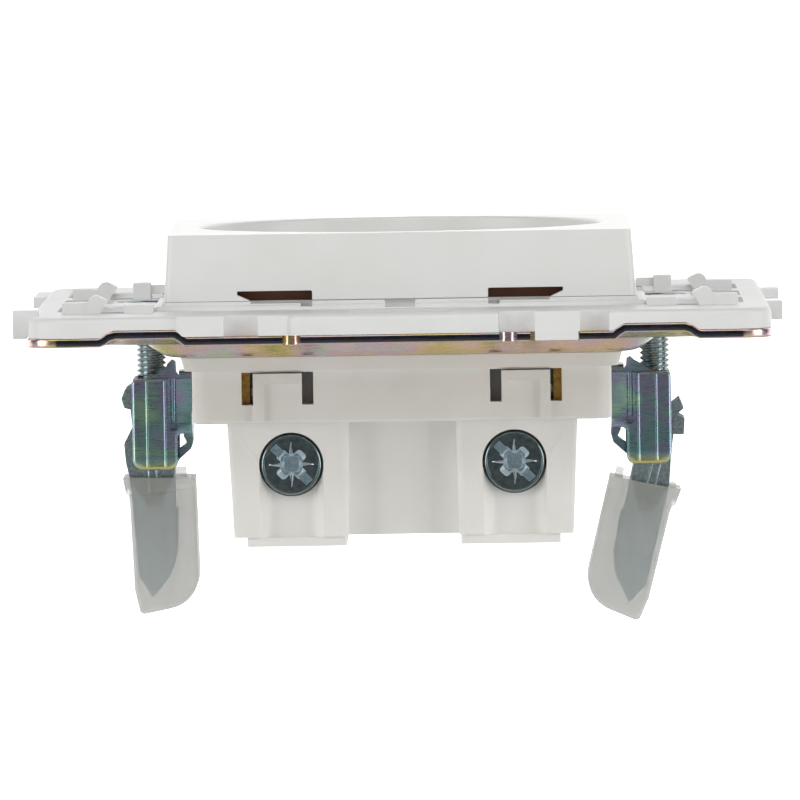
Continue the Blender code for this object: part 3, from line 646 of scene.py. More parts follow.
# ---------------------------------------------------------------- materials, made once

PLATE_HALF = 35.5
MATERIALS = {}


def finish(name):
    """The named material, made when it is first asked for."""
    if name not in MATERIALS:
        maker, *values = MAKERS[name]
        MATERIALS[name] = maker(name, *values)
    return MATERIALS[name]


# Each material's maker and what it is given after the name.
MAKERS = {
    # Moulded ABS of the carrier frame: warm white with a satin skin that hides small marks.
    "moulded_abs_white": (moulded_plastic, "EFEFEE", "E9E9E8", 0.42, 0.12),
    # Moulded polycarbonate of the face: the cleanest and glossiest white of the three.
    "glossy_polycarbonate_white": (moulded_plastic, "F0F0EE", "EBEBE8", 0.3, 0.15),
    # Glass-filled polyamide of the base: a shade greyer and duller, faintly mottled by the filler.
    "filled_polyamide_white": (moulded_plastic, "F5F4F0", "EFEEE9", 0.5, 0.1),
    # Unpigmented polyamide of the hidden shutter guide: dull horn colour.
    "natural_polyamide": (moulded_plastic, "D6CFBE", "C8C0AC", 0.5, 0.12),
    # Drawn steel plate: yellow, rose, lavender and pale green chromate colours on bright zinc.
    "yellow_chromate_steel": (
        passivated_steel,
        [(0.0, "BDB468"), (0.25, "DCCB88"), (0.45, "EACAB0"), (0.62, "DCC4D2"), (0.8, "C8D6BC"),
         (1.0, "DCD292")],
        # The last entry paints the sheared edge faces dark, a painted reflection of the dark room in front.
        7.0, 0.24, 0.2, (6, 1, 1), None, (PLATE_HALF - 0.02, "50545E"),
    ),
    # Stirrup strip: darker, thicker film in teal and violet with rolled lines across it.
    "blue_chromate_strip": (
        passivated_steel,
        [(0.0, "7EA8A0"), (0.35, "8CACB6"), (0.55, "A09EBE"), (0.75, "8FB3B0"), (1.0, "AACAB4")],
        3.2, 0.27, 0.12, (14, 14, 1),
        (-13.3, -12.0, [(0.0, "E0D48C"), (0.35, "CBE0B8"), (0.7, "A4CAD6"), (1.0, "7FA3A0")]),
    ),
    # Lever blanks: plain blue-grey zinc on sheared steel.
    "blue_zinc_lever": (plated_metal, "CEDDE2", "98ABB2", 0.3, 0.3),
    # The claw's tail under the guard: not a real coating but painted light, a matt, pale blue lightening of
    # the steel that stands in for light scattered through the plastic, which plain transparency can't show.
    "guarded_zinc": (moulded_plastic, "DCF2FF", "CFE9F8", 0.5, 0.2),
    # Terminal screws: blue-white zinc over rolled threads, drawn darker as a painted reflection of the dark
    # room that their faces mirror.
    "blue_zinc_screw": (plated_metal, "8A989A", "77878C", 0.2, 0.5),
    # Claw screws: the same zinc, lighter, without the terminal screws' painted dark reflection.
    "bright_zinc_thread": (plated_metal, "C8D4D6", "ABBABE", 0.2, 0.5),
    # Floors of the screw recesses: the same zinc, drawn lighter and bluer so that the cross can be read.
    "blue_zinc_recess": (plated_metal, "C4DAE4", "9CBACA", 0.34, 0.3),
    # Sloped walls of the recesses: a painted highlight, drawn nearly white because they catch the light as
    # bright outlines.
    "punched_zinc_wall": (plated_metal, "FAFCFD", "EDF3F6", 0.4, 0.1),
    # Terminal cages: duller barrel-plated zinc.
    "barrel_zinc": (plated_metal, "BDBFBC", "9C9F9C", 0.36, 0.3),
    # Contact strip: rolled half-hard brass, warm and softly bright.
    "rolled_brass": (plated_metal, "D9AE62", "B98A45", 0.28, 0.4),
    # Spring wire and clips: bare bright spring steel.
    "spring_steel": (plated_metal, "A6A7A6", "868887", 0.28, 0.3),
    # Guessed: insulating hard paper behind the latch windows, brown and matt.
    # Painted shade: a brown, matt sheet behind the latch windows that stands in for the shadowed hollow of
    # the face behind them.
    "brown_hard_paper": (moulded_plastic, "7A4A30", "643A26", 0.6, 0.2),
    # Guard over the claw: unpigmented polypropylene, milky, so the steel shows through as a pale shape.
    "milky_polypropylene": (milky_polypropylene, "BBBCB5", "B4B5AE", 0.62),
    # Inner walls of the guard: the same plastic, already seen through its outer skin, so nearly clear.
    "milky_polypropylene_inside": (milky_polypropylene, "E4EEF2", "DCE8EE", 0.06),
}


def dressed(obj, material):
    obj.data.materials.clear()
    obj.data.materials.append(finish(material))
    return obj


def given_place(obj, body, node):
    """Makes a finished piece ride on its body, stand for its CAD node and take its slot."""
    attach(obj, body)
    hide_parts(node)


# ---------------------------------------------------------------- steel support plate

JOGGLE = (21.4, 27.1)
JOGGLE_RISE = 0.7
CLAW_X = 24.6


def plate_lift(x):
    """How far the near edge of the plate is raised at x."""
    across = abs(x)
    up = smooth_step(across, JOGGLE[0] - 0.9, JOGGLE[0])
    return JOGGLE_RISE * up * (1 - smooth_step(across, JOGGLE[1], JOGGLE[1] + 1.4))


def build_plate(sizes):
    values = {
        "Side": 2 * PLATE_HALF * MM,
        "Corner": 3.0 * MM,
        "Well Depth": sizes.well_depth,
        "Well Floor": 22.2 * MM,
        "Well Rim": 25.7 * MM,
        "Well Corner": 4.0 * MM,
        "Joggle Rise": JOGGLE_RISE * MM,
        "Joggle From": JOGGLE[0] * MM,
        "Joggle To": JOGGLE[1] * MM,
        "Joggle Reach": 4.4 * MM,
        "Rows": 143,
        "Material": finish("yellow_chromate_steel"),
    }
    plate = grown("steel_plate", pressing_tree(), values)
    wall = plate.modifiers.new("thickness", "SOLIDIFY")
    wall.thickness = sizes.sheet_thickness
    wall.offset = 1.0
    wall.use_even_offset = True
    edge = plate.modifiers.new("rolled edge", "BEVEL")
    edge.width = sizes.sheet_edge
    edge.segments = 3
    edge.limit_method = "ANGLE"
    edge.angle_limit = math.radians(60)
    plate = settled("steel_plate", plate)
    edge_y = -PLATE_HALF
    cuts = [prism(square(17.5, 2.0), -4, 3), block((12.4, edge_y - 1, -1), (17.1, edge_y + 1.2, 2))]
    for x in (-10.3, 10.3):
        cuts.append(rod((x, edge_y, -1), (x, edge_y, 2), 0.85))
        cuts.append(rod((x, -edge_y, -1), (x, -edge_y, 2), 0.85))
    for low, high in both(9.25, 15.0):
        for y in (-18.4, 18.4):
            cuts.append(block((low, y - 0.55, -3), (high, y + 0.55, 1)))
    for x in (-CLAW_X, CLAW_X):
        cuts.append(rod((x, 0, -2), (x, 0, 2), 1.8))
    for low, high in both(20.1, 23.4):
        cuts.append(block((low, -5.2, -3), (high, 5.2, -0.9)))
    for x, y, half_x, half_y in ((30, 0, 1.9, 4), (-30, 0, 1.9, 4), (0, 30, 4, 1.9), (0, -30, 4, 1.9)):
        slot = square(half_x, 1.85, half_y)
        cuts.append(prism([(x + a, y + b) for a, b in slot], -1, 2))
    plate = combined("steel_plate", plate, cuts=cuts)
    plate.data.shade_smooth()
    plate.data.set_sharp_from_angle(angle=math.radians(40))
    dressed(plate, "yellow_chromate_steel")
    given_place(plate, "housing", "support_plate")


# ---------------------------------------------------------------- carrier frame

CARRIER_HALF = 35.4
CARRIER_TOP = 2.84
PLINTH_TOP = 3.64
NEAR = -CARRIER_HALF


def cover_lugs():
    """Snap lugs for the cover: a post with a hook leaning inwards, a thin bar and an inner post."""
    lugs = []
    foot = CARRIER_TOP - 0.5
    hook = [(30.05, foot), (30.05, 3.4), (29.8, 4.2, 0.15), (29.4, 4.48, 0.15), (28.95, 4.5, 0.1),
            (27.95, 4.02, 0.15), (28.6, 3.1), (28.6, foot)]
    for side in (-1, 1):
        for y, inner_low, inner_top in ((-26.0, 23.6, 3.58), (6.0, 24.7, 4.4)):
            far = y + 2.6
            lugs.append(block((side * 29.9, y + 0.1, foot), (side * 32.35, far, 3.86)))
            lugs.append(prism([(side * x, z) for x, z in rounded(hook)], y, far - 0.2, "XZ"))
            lugs.append(block((side * 26.3, y + 0.5, 2.95), (side * 28.8, far - 0.4, 3.36)))
            lugs.append(block((side * inner_low, y, foot), (side * 26.45, far, inner_top)))
            if y > 0:
                lugs.append(block((side * 23.0, y + 0.3, 3.33), (side * 24.9, far - 0.3, 4.15)))
    return lugs


def side_tabs():
    tabs = []
    root = CARRIER_HALF - 0.9
    for side, out, y_low, y_high, z_low, z_high in (
        (-1, 36.9, -31.5, -28.5, 0.75, 3.4),
        (-1, 36.8, 20.5, 34.0, 1.46, 2.54),
        (1, 37.15, -2.0, 2.0, 0.25, 2.0),
        (1, 37.1, 12.0, 16.0, 1.65, 2.69),
    ):
        tabs.append(block((side * root, y_low, max(z_low, 0.95)), (side * out, y_high, z_high)))
        if z_low < 0.95:
            plate_edge = side * (PLATE_HALF + 0.1)
            tabs.append(block((plate_edge, y_low, z_low), (side * out, y_high, z_high - 0.1)))
    return tabs


def joggle_room(side):
    """The cutter that clears the plate's raised edge, following its curve."""
    xs = [20.0 + 0.25 * i for i in range(41)]
    over = [(side * x, 0.88 + plate_lift(x)) for x in xs]
    return prism([(side * 20.0, 0.0), *over, (side * 30.0, 0.0)], NEAR - 1, NEAR + 4.8, "XZ")


def build_carrier(sizes):
    slab = prism(square(CARRIER_HALF, 3.0), 0.87, CARRIER_TOP, round_high=0.55)
    ledge_top = 0.1
    joins = [
        prism(square(23.7, 0.6), CARRIER_TOP - 0.5, 3.3, round_high=0.35),
        prism(square(22.85, 0.5), CARRIER_TOP - 0.5, PLINTH_TOP),
        prism(square(19.6, 2.0), ledge_top - 0.7, ledge_top),
        loft([(ledge_top - 0.5, square(19.6, 2.0)), (1.4, square(22.4, 2.0))]),
        prism(square(17.2, 1.5), -6.6, ledge_top - 0.2),
    ]
    for low, high in both(9.75, 14.5):
        catch = [(-18.7, -4.9), (-16.5, -4.9), (-16.5, -6.3), (-17.5, -6.3), (-18.7, -5.6)]
        for mirror in (1, -1):
            joins.append(prism([(mirror * y, z) for y, z in catch], low, high, "YZ"))
    joins += [block((low, NEAR - 0.2, 0.9), (high, NEAR + 2.0, CARRIER_TOP - 0.02))
              for low, high in ((-21.2, -16.7), (-13.45, -10.7), (12.85, 17.15))]
    joins.append(block((12.85, NEAR - 0.2, 0.06), (16.98, NEAR + 0.8, 1.5)))
    joins += [rod((-2.0, -22.9, 2.86), (2.0, -22.9, 2.86), 0.28), *side_tabs(), *cover_lugs()]
    cuts = [
        loft([(ledge_top - 0.02, square(18.4, 1.5)), (5.0, square(21.4, 1.5))]),
        prism(square(16.0, 1.0), -8, 1.0),
        rod((0, 0, ledge_top + 0.1), (0, 0, 5), 21.25, sides=96),
        joggle_room(1),
        joggle_room(-1),
        block((-1.45, -24, 2.95), (1.45, -22.0, 3.9)),
    ]
    for near_x, far_x, foot in ((8.44, 9.54, 3.1), (9.0, 14.35, 3.42)):
        for low, high in both(near_x, far_x):
            cuts += [block((low, y - 1.5, foot), (high, y + 1.5, 5)) for y in (-22.5, 22.5)]
    for low, high in ((17.15, 19.9), (9.4, 12.85), (-16.7, -13.45)):
        cuts.append(block((low, NEAR - 1, 0), (high, NEAR + 0.9, 4)))
    for x in (-CLAW_X, CLAW_X):
        cuts.append(rod((x, 0, -1), (x, 0, 6), 3.3))
    for side in (-1, 1):
        cuts.append(block((side * 28.2, -5, 0), (side * 33.0, 5, 6)))
        cuts.append(block((-5, side * 26.6, 0), (5, side * 33.4, 6)))
        cuts.append(block((side * 21.2, 3.5, -3), (side * 23.9, 5.5, 2.2)))
        for far_pocket in (
            [(21.0, 10), (33, 10), (33, 22), (25.5, 22)],
            [(25.5, -22), (33, -22), (33, -10), (25.5, -10)],
        ):
            cuts.append(prism(rounded([(side * x, y, 1) for x, y in far_pocket]), 1.9, 5))
    carrier = combined("carrier", slab, joins, cuts)
    carrier = softened(carrier, sizes.mould_edge / MM)
    dressed(carrier, "moulded_abs_white")
    given_place(carrier, "housing", "carrier_frame")


# ---------------------------------------------------------------- socket face

FACE_FOOT = 3.68
FACE_TOP = 10.05
DISH_RADIUS = 19.65
DISH_FLOOR = 1.6


def window_outline(side):
    """A latch window, with the slant that clears the latch's outer corner."""
    corners = [(8.44, 3.0), (8.44, 4.62, 0.15), (15.64, 4.62), (15.64, 4.25), (14.35, 3.66), (14.35, 3.0)]
    return [(side * x, z) for x, z in rounded(corners, 3)]


def build_face():
    foot, top, wall = 22.68, 22.27, 1.4
    face = loft([(FACE_FOOT, square(foot, 0.7)), (FACE_TOP, square(top, 0.7))])
    hollow = loft([(FACE_FOOT - 1, square(foot - wall, 0.5)), (FACE_TOP - wall, square(top - wall, 0.5))])
    face = combined("face", face, cuts=[hollow])
    dish = rod((0, 0, DISH_FLOOR - 1.2), (0, 0, FACE_TOP - 0.4), DISH_RADIUS + 1.2, sides=96)
    posts = [
        block((x - 0.9, y - 0.9, -2.6), (x + 0.9, y + 0.9, DISH_FLOOR - 0.5))
        for x in (-3.6, 3.6) for y in (-8.0, 12.6)
    ]
    recess = turned(
        [(0, DISH_FLOOR), (DISH_RADIUS - 0.45, DISH_FLOOR), (DISH_RADIUS - 0.2, DISH_FLOOR + 0.08),
         (DISH_RADIUS - 0.1, DISH_FLOOR + 0.3), (DISH_RADIUS, FACE_TOP - 0.3),
         (DISH_RADIUS + 0.12, FACE_TOP - 0.1), (DISH_RADIUS + 0.35, FACE_TOP + 0.05),
         (DISH_RADIUS + 0.35, FACE_TOP + 1), (0, FACE_TOP + 1)],
        128,
    )
    cuts = [recess]
    for x in (-9.5, 9.5):
        cuts.append(rod((x, 0, DISH_FLOOR - 2), (x, 0, DISH_FLOOR + 1), 3.0, sides=40))
        cuts.append(rod((x, 0, DISH_FLOOR - 0.35), (x, 0, DISH_FLOOR + 0.1), 2.9, 3.5, sides=40))
    for side in (-1, 1):
        cuts.append(prism(window_outline(side), -24, -20.6, "XZ"))
        cuts.append(prism(window_outline(side), 20.6, 24, "XZ"))
    face = combined("face", face, [dish, *posts], cuts)
    face = softened(face, 0.3, 3)
    dressed(face, "glossy_polycarbonate_white")
    given_place(face, "housing", "socket_face")


# ---------------------------------------------------------------- base housing

TERMINAL_X = 10.75
TERMINAL_Z = -12.3


def tongue(side):
    """One collar tongue's raised L rib, and the cutters for the slits round it."""
    low, high = 9.6, 14.3
    y = -20.5
    ribs = [
        block((side * 13.35, y - 0.5, -8.0), (side * (high + 0.4), y + 1, -3.3)),
        block((side * (low - 0.4), y - 0.5, -4.45), (side * (high + 0.4), y + 1, -3.3)),
    ]
    slits = [
        block((side * (low - 1.1), y - 1, -6.45), (side * low, y + 2, -3.3)),
        block((side * high, y - 1, -6.45), (side * (high + 1.1), y + 2, -3.3)),
        block((side * high, y - 1, -9.0), (side * (high + 1.1), y, -6.45)),
        block((side * (low - 1.1), y - 1, -3.42), (side * (high + 1.1), y + 2, -3.3)),
    ]
    return ribs, slits


def build_base(sizes):
    collar = prism(square(20.2, 1.6, 20.5), -8.25, -2.05, round_low=0.35)
    flange = loft([(-3.12, square(20.9, 1.6, 21.1)), (-1.8, square(21.25, 1.6, 21.35))])
    body = loft([(-19.3, square(16.4, 0.5, 16.4)), (-7.8, square(16.9, 0.5, 17.0))])
    joins = [flange, body]
    for side in (-1, 1):
        tower = [(5.15, -14), (5.15, -19.4, 0.8), (16.9, -19.4, 0.5), (16.9, -14)]
        taper = [(5.35, -14), (5.35, -19.2, 0.8), (16.35, -19.2, 0.5), (16.35, -14)]
        joins.append(loft([
            (-19.3, [(side * x, y) for x, y in rounded(taper)]),
            (-7.8, [(side * x, y) for x, y in rounded(tower)]),
        ]))
        foot = [(5.5, -19.0, 0.3), (15.1, -19.0, 0.3), (15.1, -4.0, 0.3), (5.5, -4.0, 0.3)]
        joins.append(prism([(side * x, y) for x, y in rounded(foot)], -20.2, -18.8))
    cuts = [block((low, -5.2, -9), (high, 5.2, -1)) for low, high in both(20.05, 22.0)]
    cuts += [block((-18.8, -19.1, -6.85), (18.8, 19.1, 0)), block((-3.6, -14.0, -17.9), (3.6, 14.0, 0))]
    for low, high in both(5.0, 14.85):
        cuts.append(block((low, -16.4, -18.1), (high, 5.0, 0)))
    for low, high in (*both(5.0, 9.3), *both(10.5, 14.85)):
        cuts.append(block((low, 6.2, -18.1), (high, 15.4, 0)))
    for side in (-1, 1):
        ribs, slits = tongue(side)
        joins += ribs
        cuts += slits
        for slit in ((9.05, 9.75), (14.5, 15.2)):
            cuts.append(block((side * slit[0], 18.5, -6.45), (side * slit[1], 21.5, -3.3)))
        x = side * TERMINAL_X
        cuts.append(rod((x, -21, TERMINAL_Z), (x, -17.2, TERMINAL_Z), 3.1, sides=64))
        cuts.append(rod((x, -21, TERMINAL_Z), (x, -15, TERMINAL_Z), 2.1))
        channel = rounded(
            [(x - 3.2, -21.5), (x - 3.2, -18.1, 1.8), (x + 3.2, -18.1, 1.8), (x + 3.2, -21.5)]
        )
        cuts.append(prism(channel, -19.35, TERMINAL_Z))
        for dx in (-1.35, 1.35):
            cuts.append(rod((x + dx, -8.95, -21), (x + dx, -8.95, -17), 1.25, sides=24))
            cuts.append(rod((x + dx, -8.95, -20.5), (x + dx, -8.95, -19.2), 1.9, 1.2, sides=24))
        cuts.append(block((side * 20.22, -5.6, -3.6), (side * 22.5, 5.6, 0)))
    base = combined("base", collar, joins, cuts)
    base = softened(base, sizes.mould_edge / MM)
    dressed(base, "filled_polyamide_white")
    given_place(base, "housing", "base_housing")


# ---------------------------------------------------------------- screws

def threaded(sizes, radius, pitch, low, high, material):
    """A thread that stands on the Z axis from low to high, in millimetres."""
    span = high - low
    values = {
        "Radius": radius * MM,
        "Depth": sizes.thread_depth,
        "Pitch": pitch,
        "Length": span * MM,
        "Rings": round(span / (pitch / MM) * 12),
        "Point": 1.2 * MM,
        "Material": finish(material),
    }
    obj = grown("shank", thread_tree(), values)
    obj.data.transform(Matrix.Translation((0, 0, (low + high) / 2 * MM)))
    return obj


def screw_head(radius, low, high):
    """A cheese head with a combined cross and slot, star marks between the arms and a raised rim."""
    head = turned(
        [(0, low), (radius - 0.12, low), (radius, low + 0.12), (radius, high - 0.3),
         (radius - 0.1, high - 0.06), (radius - 0.2, high), (radius - 0.28, high),
         (radius - 0.36, high - 0.1), (0, high - 0.1)],
        64,
    )
    cuts = []
    for turn in (45, 135):
        arm = loft([(high - 1.0, square(1.15, 0.2, 0.4)), (high + 0.1, square(1.75, 0.35, 0.58))])
        arm.data.transform(Matrix.Rotation(math.radians(turn), 4, "Z"))
        cuts.append(arm)
    well = loft([(high - 1.15, square(0.72, 0.25)), (high + 0.1, square(1.12, 0.3))])
    cuts.append(well)
    slot = block((-radius + 0.5, -0.42, high - 0.62), (radius - 0.5, 0.42, high + 0.3))
    slot.data.transform(Matrix.Rotation(math.radians(135), 4, "Z"))
    cuts.append(slot)
    for i in range(4):
        mark = loft([
            (high - 0.32, [(0.9, -0.03), (1.9, -0.01), (1.9, 0.01), (0.9, 0.03)]),
            (high + 0.1, [(0.9, -0.3), (2.4, -0.05), (2.4, 0.05), (0.9, 0.3)]),
        ])
        mark.data.transform(Matrix.Rotation(math.radians(90 * i), 4, "Z"))
        cuts.append(mark)
    return combined("head", head, cuts=cuts)


def joined_screw(name, radius, low, high, shank, place, material):
    """The head and its thread as one mesh, turned and moved into place; the recess is lighter."""
    head = screw_head(radius, low, high)
    screw = combined(name, head, [shank])
    dressed(screw, material)
    screw.data.materials.append(finish("blue_zinc_recess"))
    screw.data.materials.append(finish("punched_zinc_wall"))
    # Painted highlight: steep recess faces take the near-white wall material; flat floors take the lighter
    # zinc.
    for face in screw.data.polygons:
        x, y, z = face.center / MM
        if math.hypot(x, y) < radius - 0.3 and low < z < high - 0.12:
            face.material_index = 1 if face.normal.z > 0.9 else 2
    screw.data.transform(place)
    screw.data.shade_smooth()
    screw.data.set_sharp_from_angle(angle=math.radians(30))
    return screw


def build_terminals(sizes):
    for name, side in (("L", -1), ("R", 1)):
        shank = threaded(sizes, 1.7, sizes.terminal_pitch, 11.3, 17.8, "blue_zinc_screw")
        turn = Matrix.Rotation(math.pi / 2, 4, "X")
        place = Matrix.Translation((side * TERMINAL_X * MM, 0, TERMINAL_Z * MM)) @ turn
        label = f"terminal_screw_{name}"
        screw = joined_screw(f"{label}_detail", 2.95, 17.5, 19.2, shank, place, "blue_zinc_screw")
        given_place(screw, label, label)
        dressed(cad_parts[f"terminal_cage_{name}"], "barrel_zinc")


def build_claw_screws(sizes):
    for name, side in (("L", -1), ("R", 1)):
        shank = threaded(sizes, 1.46, sizes.claw_pitch, -14.2, 1.4, "bright_zinc_thread")
        place = Matrix.Translation((side * CLAW_X * MM, 0, 0))
        label = f"claw_screw_{name}"
        screw = joined_screw(f"{label}_detail", 2.75, 1.15, 2.8, shank, place, "bright_zinc_thread")
        given_place(screw, label, label)


# ---------------------------------------------------------------- claws

STIRRUP_SHIFT = {"L": 0.0, "R": -0.3}
STIRRUP_FOOT = {"L": -13.4, "R": -13.5}
LEVER_PIVOT = {"L": (20.9, -11.4), "R": (21.15, -12.05)}
LEVER_LEAN_DEG = {"L": 2.0, "R": 14.2}


def build_stirrup(name, side):
    """Bent strip: two creased cheeks, a top plate for the screw, and an inner wall with a hook."""
    shift = STIRRUP_SHIFT[name]
    inner, valley, ridge, outer = (x + shift for x in (20.62, 23.2, 24.95, 26.42))
    shoulder, foot = -4.55, STIRRUP_FOOT[name]
    front, sheet = 4.95, 1.0
    upright = rounded([
        (inner, shoulder), (outer, shoulder, 0.45), (outer, foot, 1.0), (inner + 1.4, foot, 0.8),
        (inner + 1.4, -9.9, 0.5), (inner, -9.9),
    ])
    solids = []
    for mirror in (1, -1):
        near, far = sorted((mirror * front, mirror * (front - sheet)))
        rims = {"round_high": 0.3} if mirror > 0 else {"round_low": 0.3}
        solids.append(prism(upright, near, far, "XZ", **rims))
        skin = mirror * (front - 0.07)
        for x in (ridge, valley):
            solids.append(rod((x, skin, foot + 0.3), (x, skin, shoulder - 0.2), 0.17, sides=12))
    solids.append(block((inner, -3.98, shoulder - 0.85), (outer - 0.1, 3.98, shoulder - 0.02)))
    solids.append(block((inner + 0.02, -4.2, -9.7), (inner + 0.95, 4.2, shoulder - 0.1)))
    crest = rounded([(-2.6, shoulder - 0.2), (-2.6, -3.9, 0.3), (2.6, -3.9, 0.3), (2.6, shoulder - 0.2)])
    solids.append(prism(crest, inner, inner + 1.25, "YZ"))
    hook = rounded([
        (inner, -9.3), (inner + 0.9, -9.3), (inner + 0.85, -10.2, 0.3), (inner + 0.5, -10.9, 0.3),
        (inner + 1.45, -11.7), (inner + 1.45, -12.6), (inner + 0.1, -11.4, 0.4), (inner - 0.1, -10.6, 0.3),
    ])
    solids.append(prism(hook, -3.6, 1.5, "XZ"))
    ear_top = -2.65 if name == "L" else -3.0
    ear = [(inner + 0.9, shoulder - 0.2), (inner + 1.45, -3.85), (inner + 1.5, ear_top - 0.2),
           (inner + 1.85, ear_top), (inner + 2.3, ear_top - 0.42), (inner + 2.5, -3.5),
           (inner + 4.1, shoulder), (inner + 4.1, shoulder - 0.2)]
    solids.append(prism(ear, -4.3, -3.6, "XZ"))
    groove_x = valley - 0.8
    inset = [(inner - 1, -6), (valley - 0.1, -6), (valley - 0.3, -4.72), (inner - 1, -4.42)]
    cuts = [
        block((inner + 1.3, low, shoulder - 1.1), (outer + 0.6, high, shoulder + 0.3))
        for low, high in both(1.6, 3.05)
    ]
    cuts += [
        rod((CLAW_X, 0, -7), (CLAW_X, 0, -3), 1.58),
        prism(inset, -9.0, shoulder + 1),
        prism([(x, -y) for x, y in inset], -9.0, shoulder + 1),
        rod((groove_x, -4.75, -9.0), (groove_x, -4.75, -4.0), 0.3, sides=16),
        rod((groove_x, -5.0, -9.2), (groove_x, -4.2, -9.2), 0.42, sides=20),
    ]
    stirrup = combined(f"stirrup_{name}_detail", solids[0], solids[1:], cuts)
    stirrup = softened(mirrored(stirrup, side), 0.12, 3, 28)
    dressed(stirrup, "blue_chromate_strip")
    given_place(stirrup, f"stirrup_{name}", f"stirrup_{name}")


def claw_points(name, corners, steps=8):
    """A lever outline in its own axes, rounded, leaned and put on the pivot."""
    pivot_x, pivot_z = LEVER_PIVOT[name]
    lean = math.radians(LEVER_LEAN_DEG[name])
    return [
        (
            pivot_x + x * math.cos(lean) + z * math.sin(lean),
            pivot_z - x * math.sin(lean) + z * math.cos(lean),
        )
        for x, z in rounded(corners, steps)
    ]


LEVER_TAIL = [
    (5.55, -12.5, 0.1), (4.9, -13.4, 0.2), (4.35, -14.5, 0.15), (3.65, -13.7, 0.2), (2.45, -12.3, 0.3),
    (2.0, -11.2, 0.3), (1.65, -2.5), (1.6, -0.9, 0.5), (3.6, 0.4, 0.5),
]
LEVER_CHEEK = {
    "L": [
        (4.6, 5.4), (5.1, 6.6, 0.1), (6.0, 6.1, 0.5), (6.45, 5.1, 0.3), (6.2, 4.2, 0.2), (5.6, 4.0),
        (5.5, 2.3, 0.3), (6.4, 0.7, 0.7), (6.3, -1.2, 0.6), (5.95, -3.0, 0.6),
        *LEVER_TAIL,
    ],
    "R": [
        (3.6, 5.0), (4.45, 6.1, 0.1), (5.1, 5.2, 0.1), (4.6, 4.5, 0.1), (5.4, 4.3, 0.1), (5.7, 2.7, 0.1),
        (4.7, 2.5), (5.0, 0.2, 0.5), (5.45, -2.4, 1.0), *LEVER_TAIL,
    ],
}
LEVER_WEB = {
    "L": [(5.25, -2.7), (6.03, -2.7), (5.5, -8.8), (4.45, -8.8)],
    "R": [(4.65, -2.7), (5.4, -2.7), (5.25, -8.8), (4.4, -8.8)],
}


def build_lever(name, side):
    """Claw lever: two toothed cheeks, a web and a bridge between them, and beads on the near cheek."""
    solids = []
    for low, high in ((-2.7, -1.9), (1.9, 2.7)):
        solids.append(prism(claw_points(name, LEVER_CHEEK[name]), low, high, "XZ"))
    bridge = [(1.5, -6.0), (2.22, -6.0), (2.4, -10.4), (1.75, -10.4)]
    for outline in (LEVER_WEB[name], bridge):
        solids.append(prism(claw_points(name, outline), -2.5, 2.5, "XZ"))
    for x in (3.35, 4.1):
        (low_x, low_z), (high_x, high_z) = claw_points(name, [(x, -5.6), (x, -0.6)])
        solids.append(rod((low_x, -2.68, low_z), (high_x, -2.68, high_z), 0.13, sides=12))
    groove = [(3.45, -0.6), (4.0, -0.6), (4.0, -5.6, 0.25), (3.45, -5.6, 0.25)]
    cuts = [prism(claw_points(name, groove), -3.5, -2.6, "XZ")]
    lever = combined(f"claw_lever_{name}_detail", solids[0], solids[1:], cuts)
    lever = softened(mirrored(lever, side), 0.09, 2, 35)
    dressed(lever, "blue_zinc_lever")
    lever.data.materials.append(finish("guarded_zinc"))
    # Painted light: faces below the guard's lip take the pale, lightened stand-in.
    _, lip_height = claw_points(name, [(3.0, -4.4)])[0]
    for face in lever.data.polygons:
        if face.center.z < lip_height * MM:
            face.material_index = 1
    given_place(lever, f"claw_{name}", f"claw_lever_{name}")


SLEEVE_SKIN = [
    (6.3, -3.2), (6.1, -5.0), (6.05, -13.6), (5.6, -16.05, 0.5), (-0.28, -15.1, 3.4), (-0.34, -3.2),
]
SLEEVE_LIP = [(6.67, -2.54), (6.45, -4.1), (6.1, -4.45), (-0.3, -4.0), (-0.36, -2.88)]
SLEEVE_TABS = {"L": [(0.4, 1.7, -1.75)], "R": [(0.0, 0.8, -1.75), (5.4, 6.1, -2.0)]}
SLEEVE_ROOM = [
    (6.12, -1.0), (6.12, -3.0), (5.84, -8.9), (5.74, -13.8, 0.3), (4.4, -15.2, 0.6), (3.2, -14.7, 0.6),
    (1.3, -12.3, 0.8), (0.95, -3.0), (0.95, -1.0),
]


def build_sleeve(name, side):
    """Guard over the claw's point: a thin pocket with a thicker lip and finger tabs."""
    half = 3.6
    skin = prism(claw_points(name, SLEEVE_SKIN), -half, half, "XZ", 0.35, 0.35)
    tabs = []
    for start, end, top in SLEEVE_TABS[name]:
        tab = [(start, -3.6), (end, -3.6), (end, top, 0.2), (start, top, 0.2)]
        tabs.append(prism(claw_points(name, tab), -half, -half + 0.55, "XZ"))
    seam = [(0.0, -9.55), (6.0, -9.75), (6.0, -9.85), (0.0, -9.65)]
    tabs.append(prism(claw_points(name, seam), -half - 0.05, -half + 0.2, "XZ"))
    lip = prism(claw_points(name, SLEEVE_LIP), -half - 0.1, half + 0.1, "XZ")
    room = prism(claw_points(name, SLEEVE_ROOM), -half + 0.62, half - 0.62, "XZ")
    sleeve = combined("shell", skin, [lip], [room])
    sleeve = combined(f"claw_sleeve_{name}_detail", sleeve, tabs)
    sleeve = softened(mirrored(sleeve, side), 0.1, 2, 40)
    dressed(sleeve, "milky_polypropylene")
    sleeve.data.materials.append(finish("milky_polypropylene_inside"))
    middle = sum((vertex.co for vertex in sleeve.data.vertices), Vector()) / len(sleeve.data.vertices)
    for face in sleeve.data.polygons:
        if face.normal.dot(middle - face.center) > 0:
            face.material_index = 1
    given_place(sleeve, f"claw_{name}", f"claw_sleeve_{name}")


# ---------------------------------------------------------------- contacts and shutter

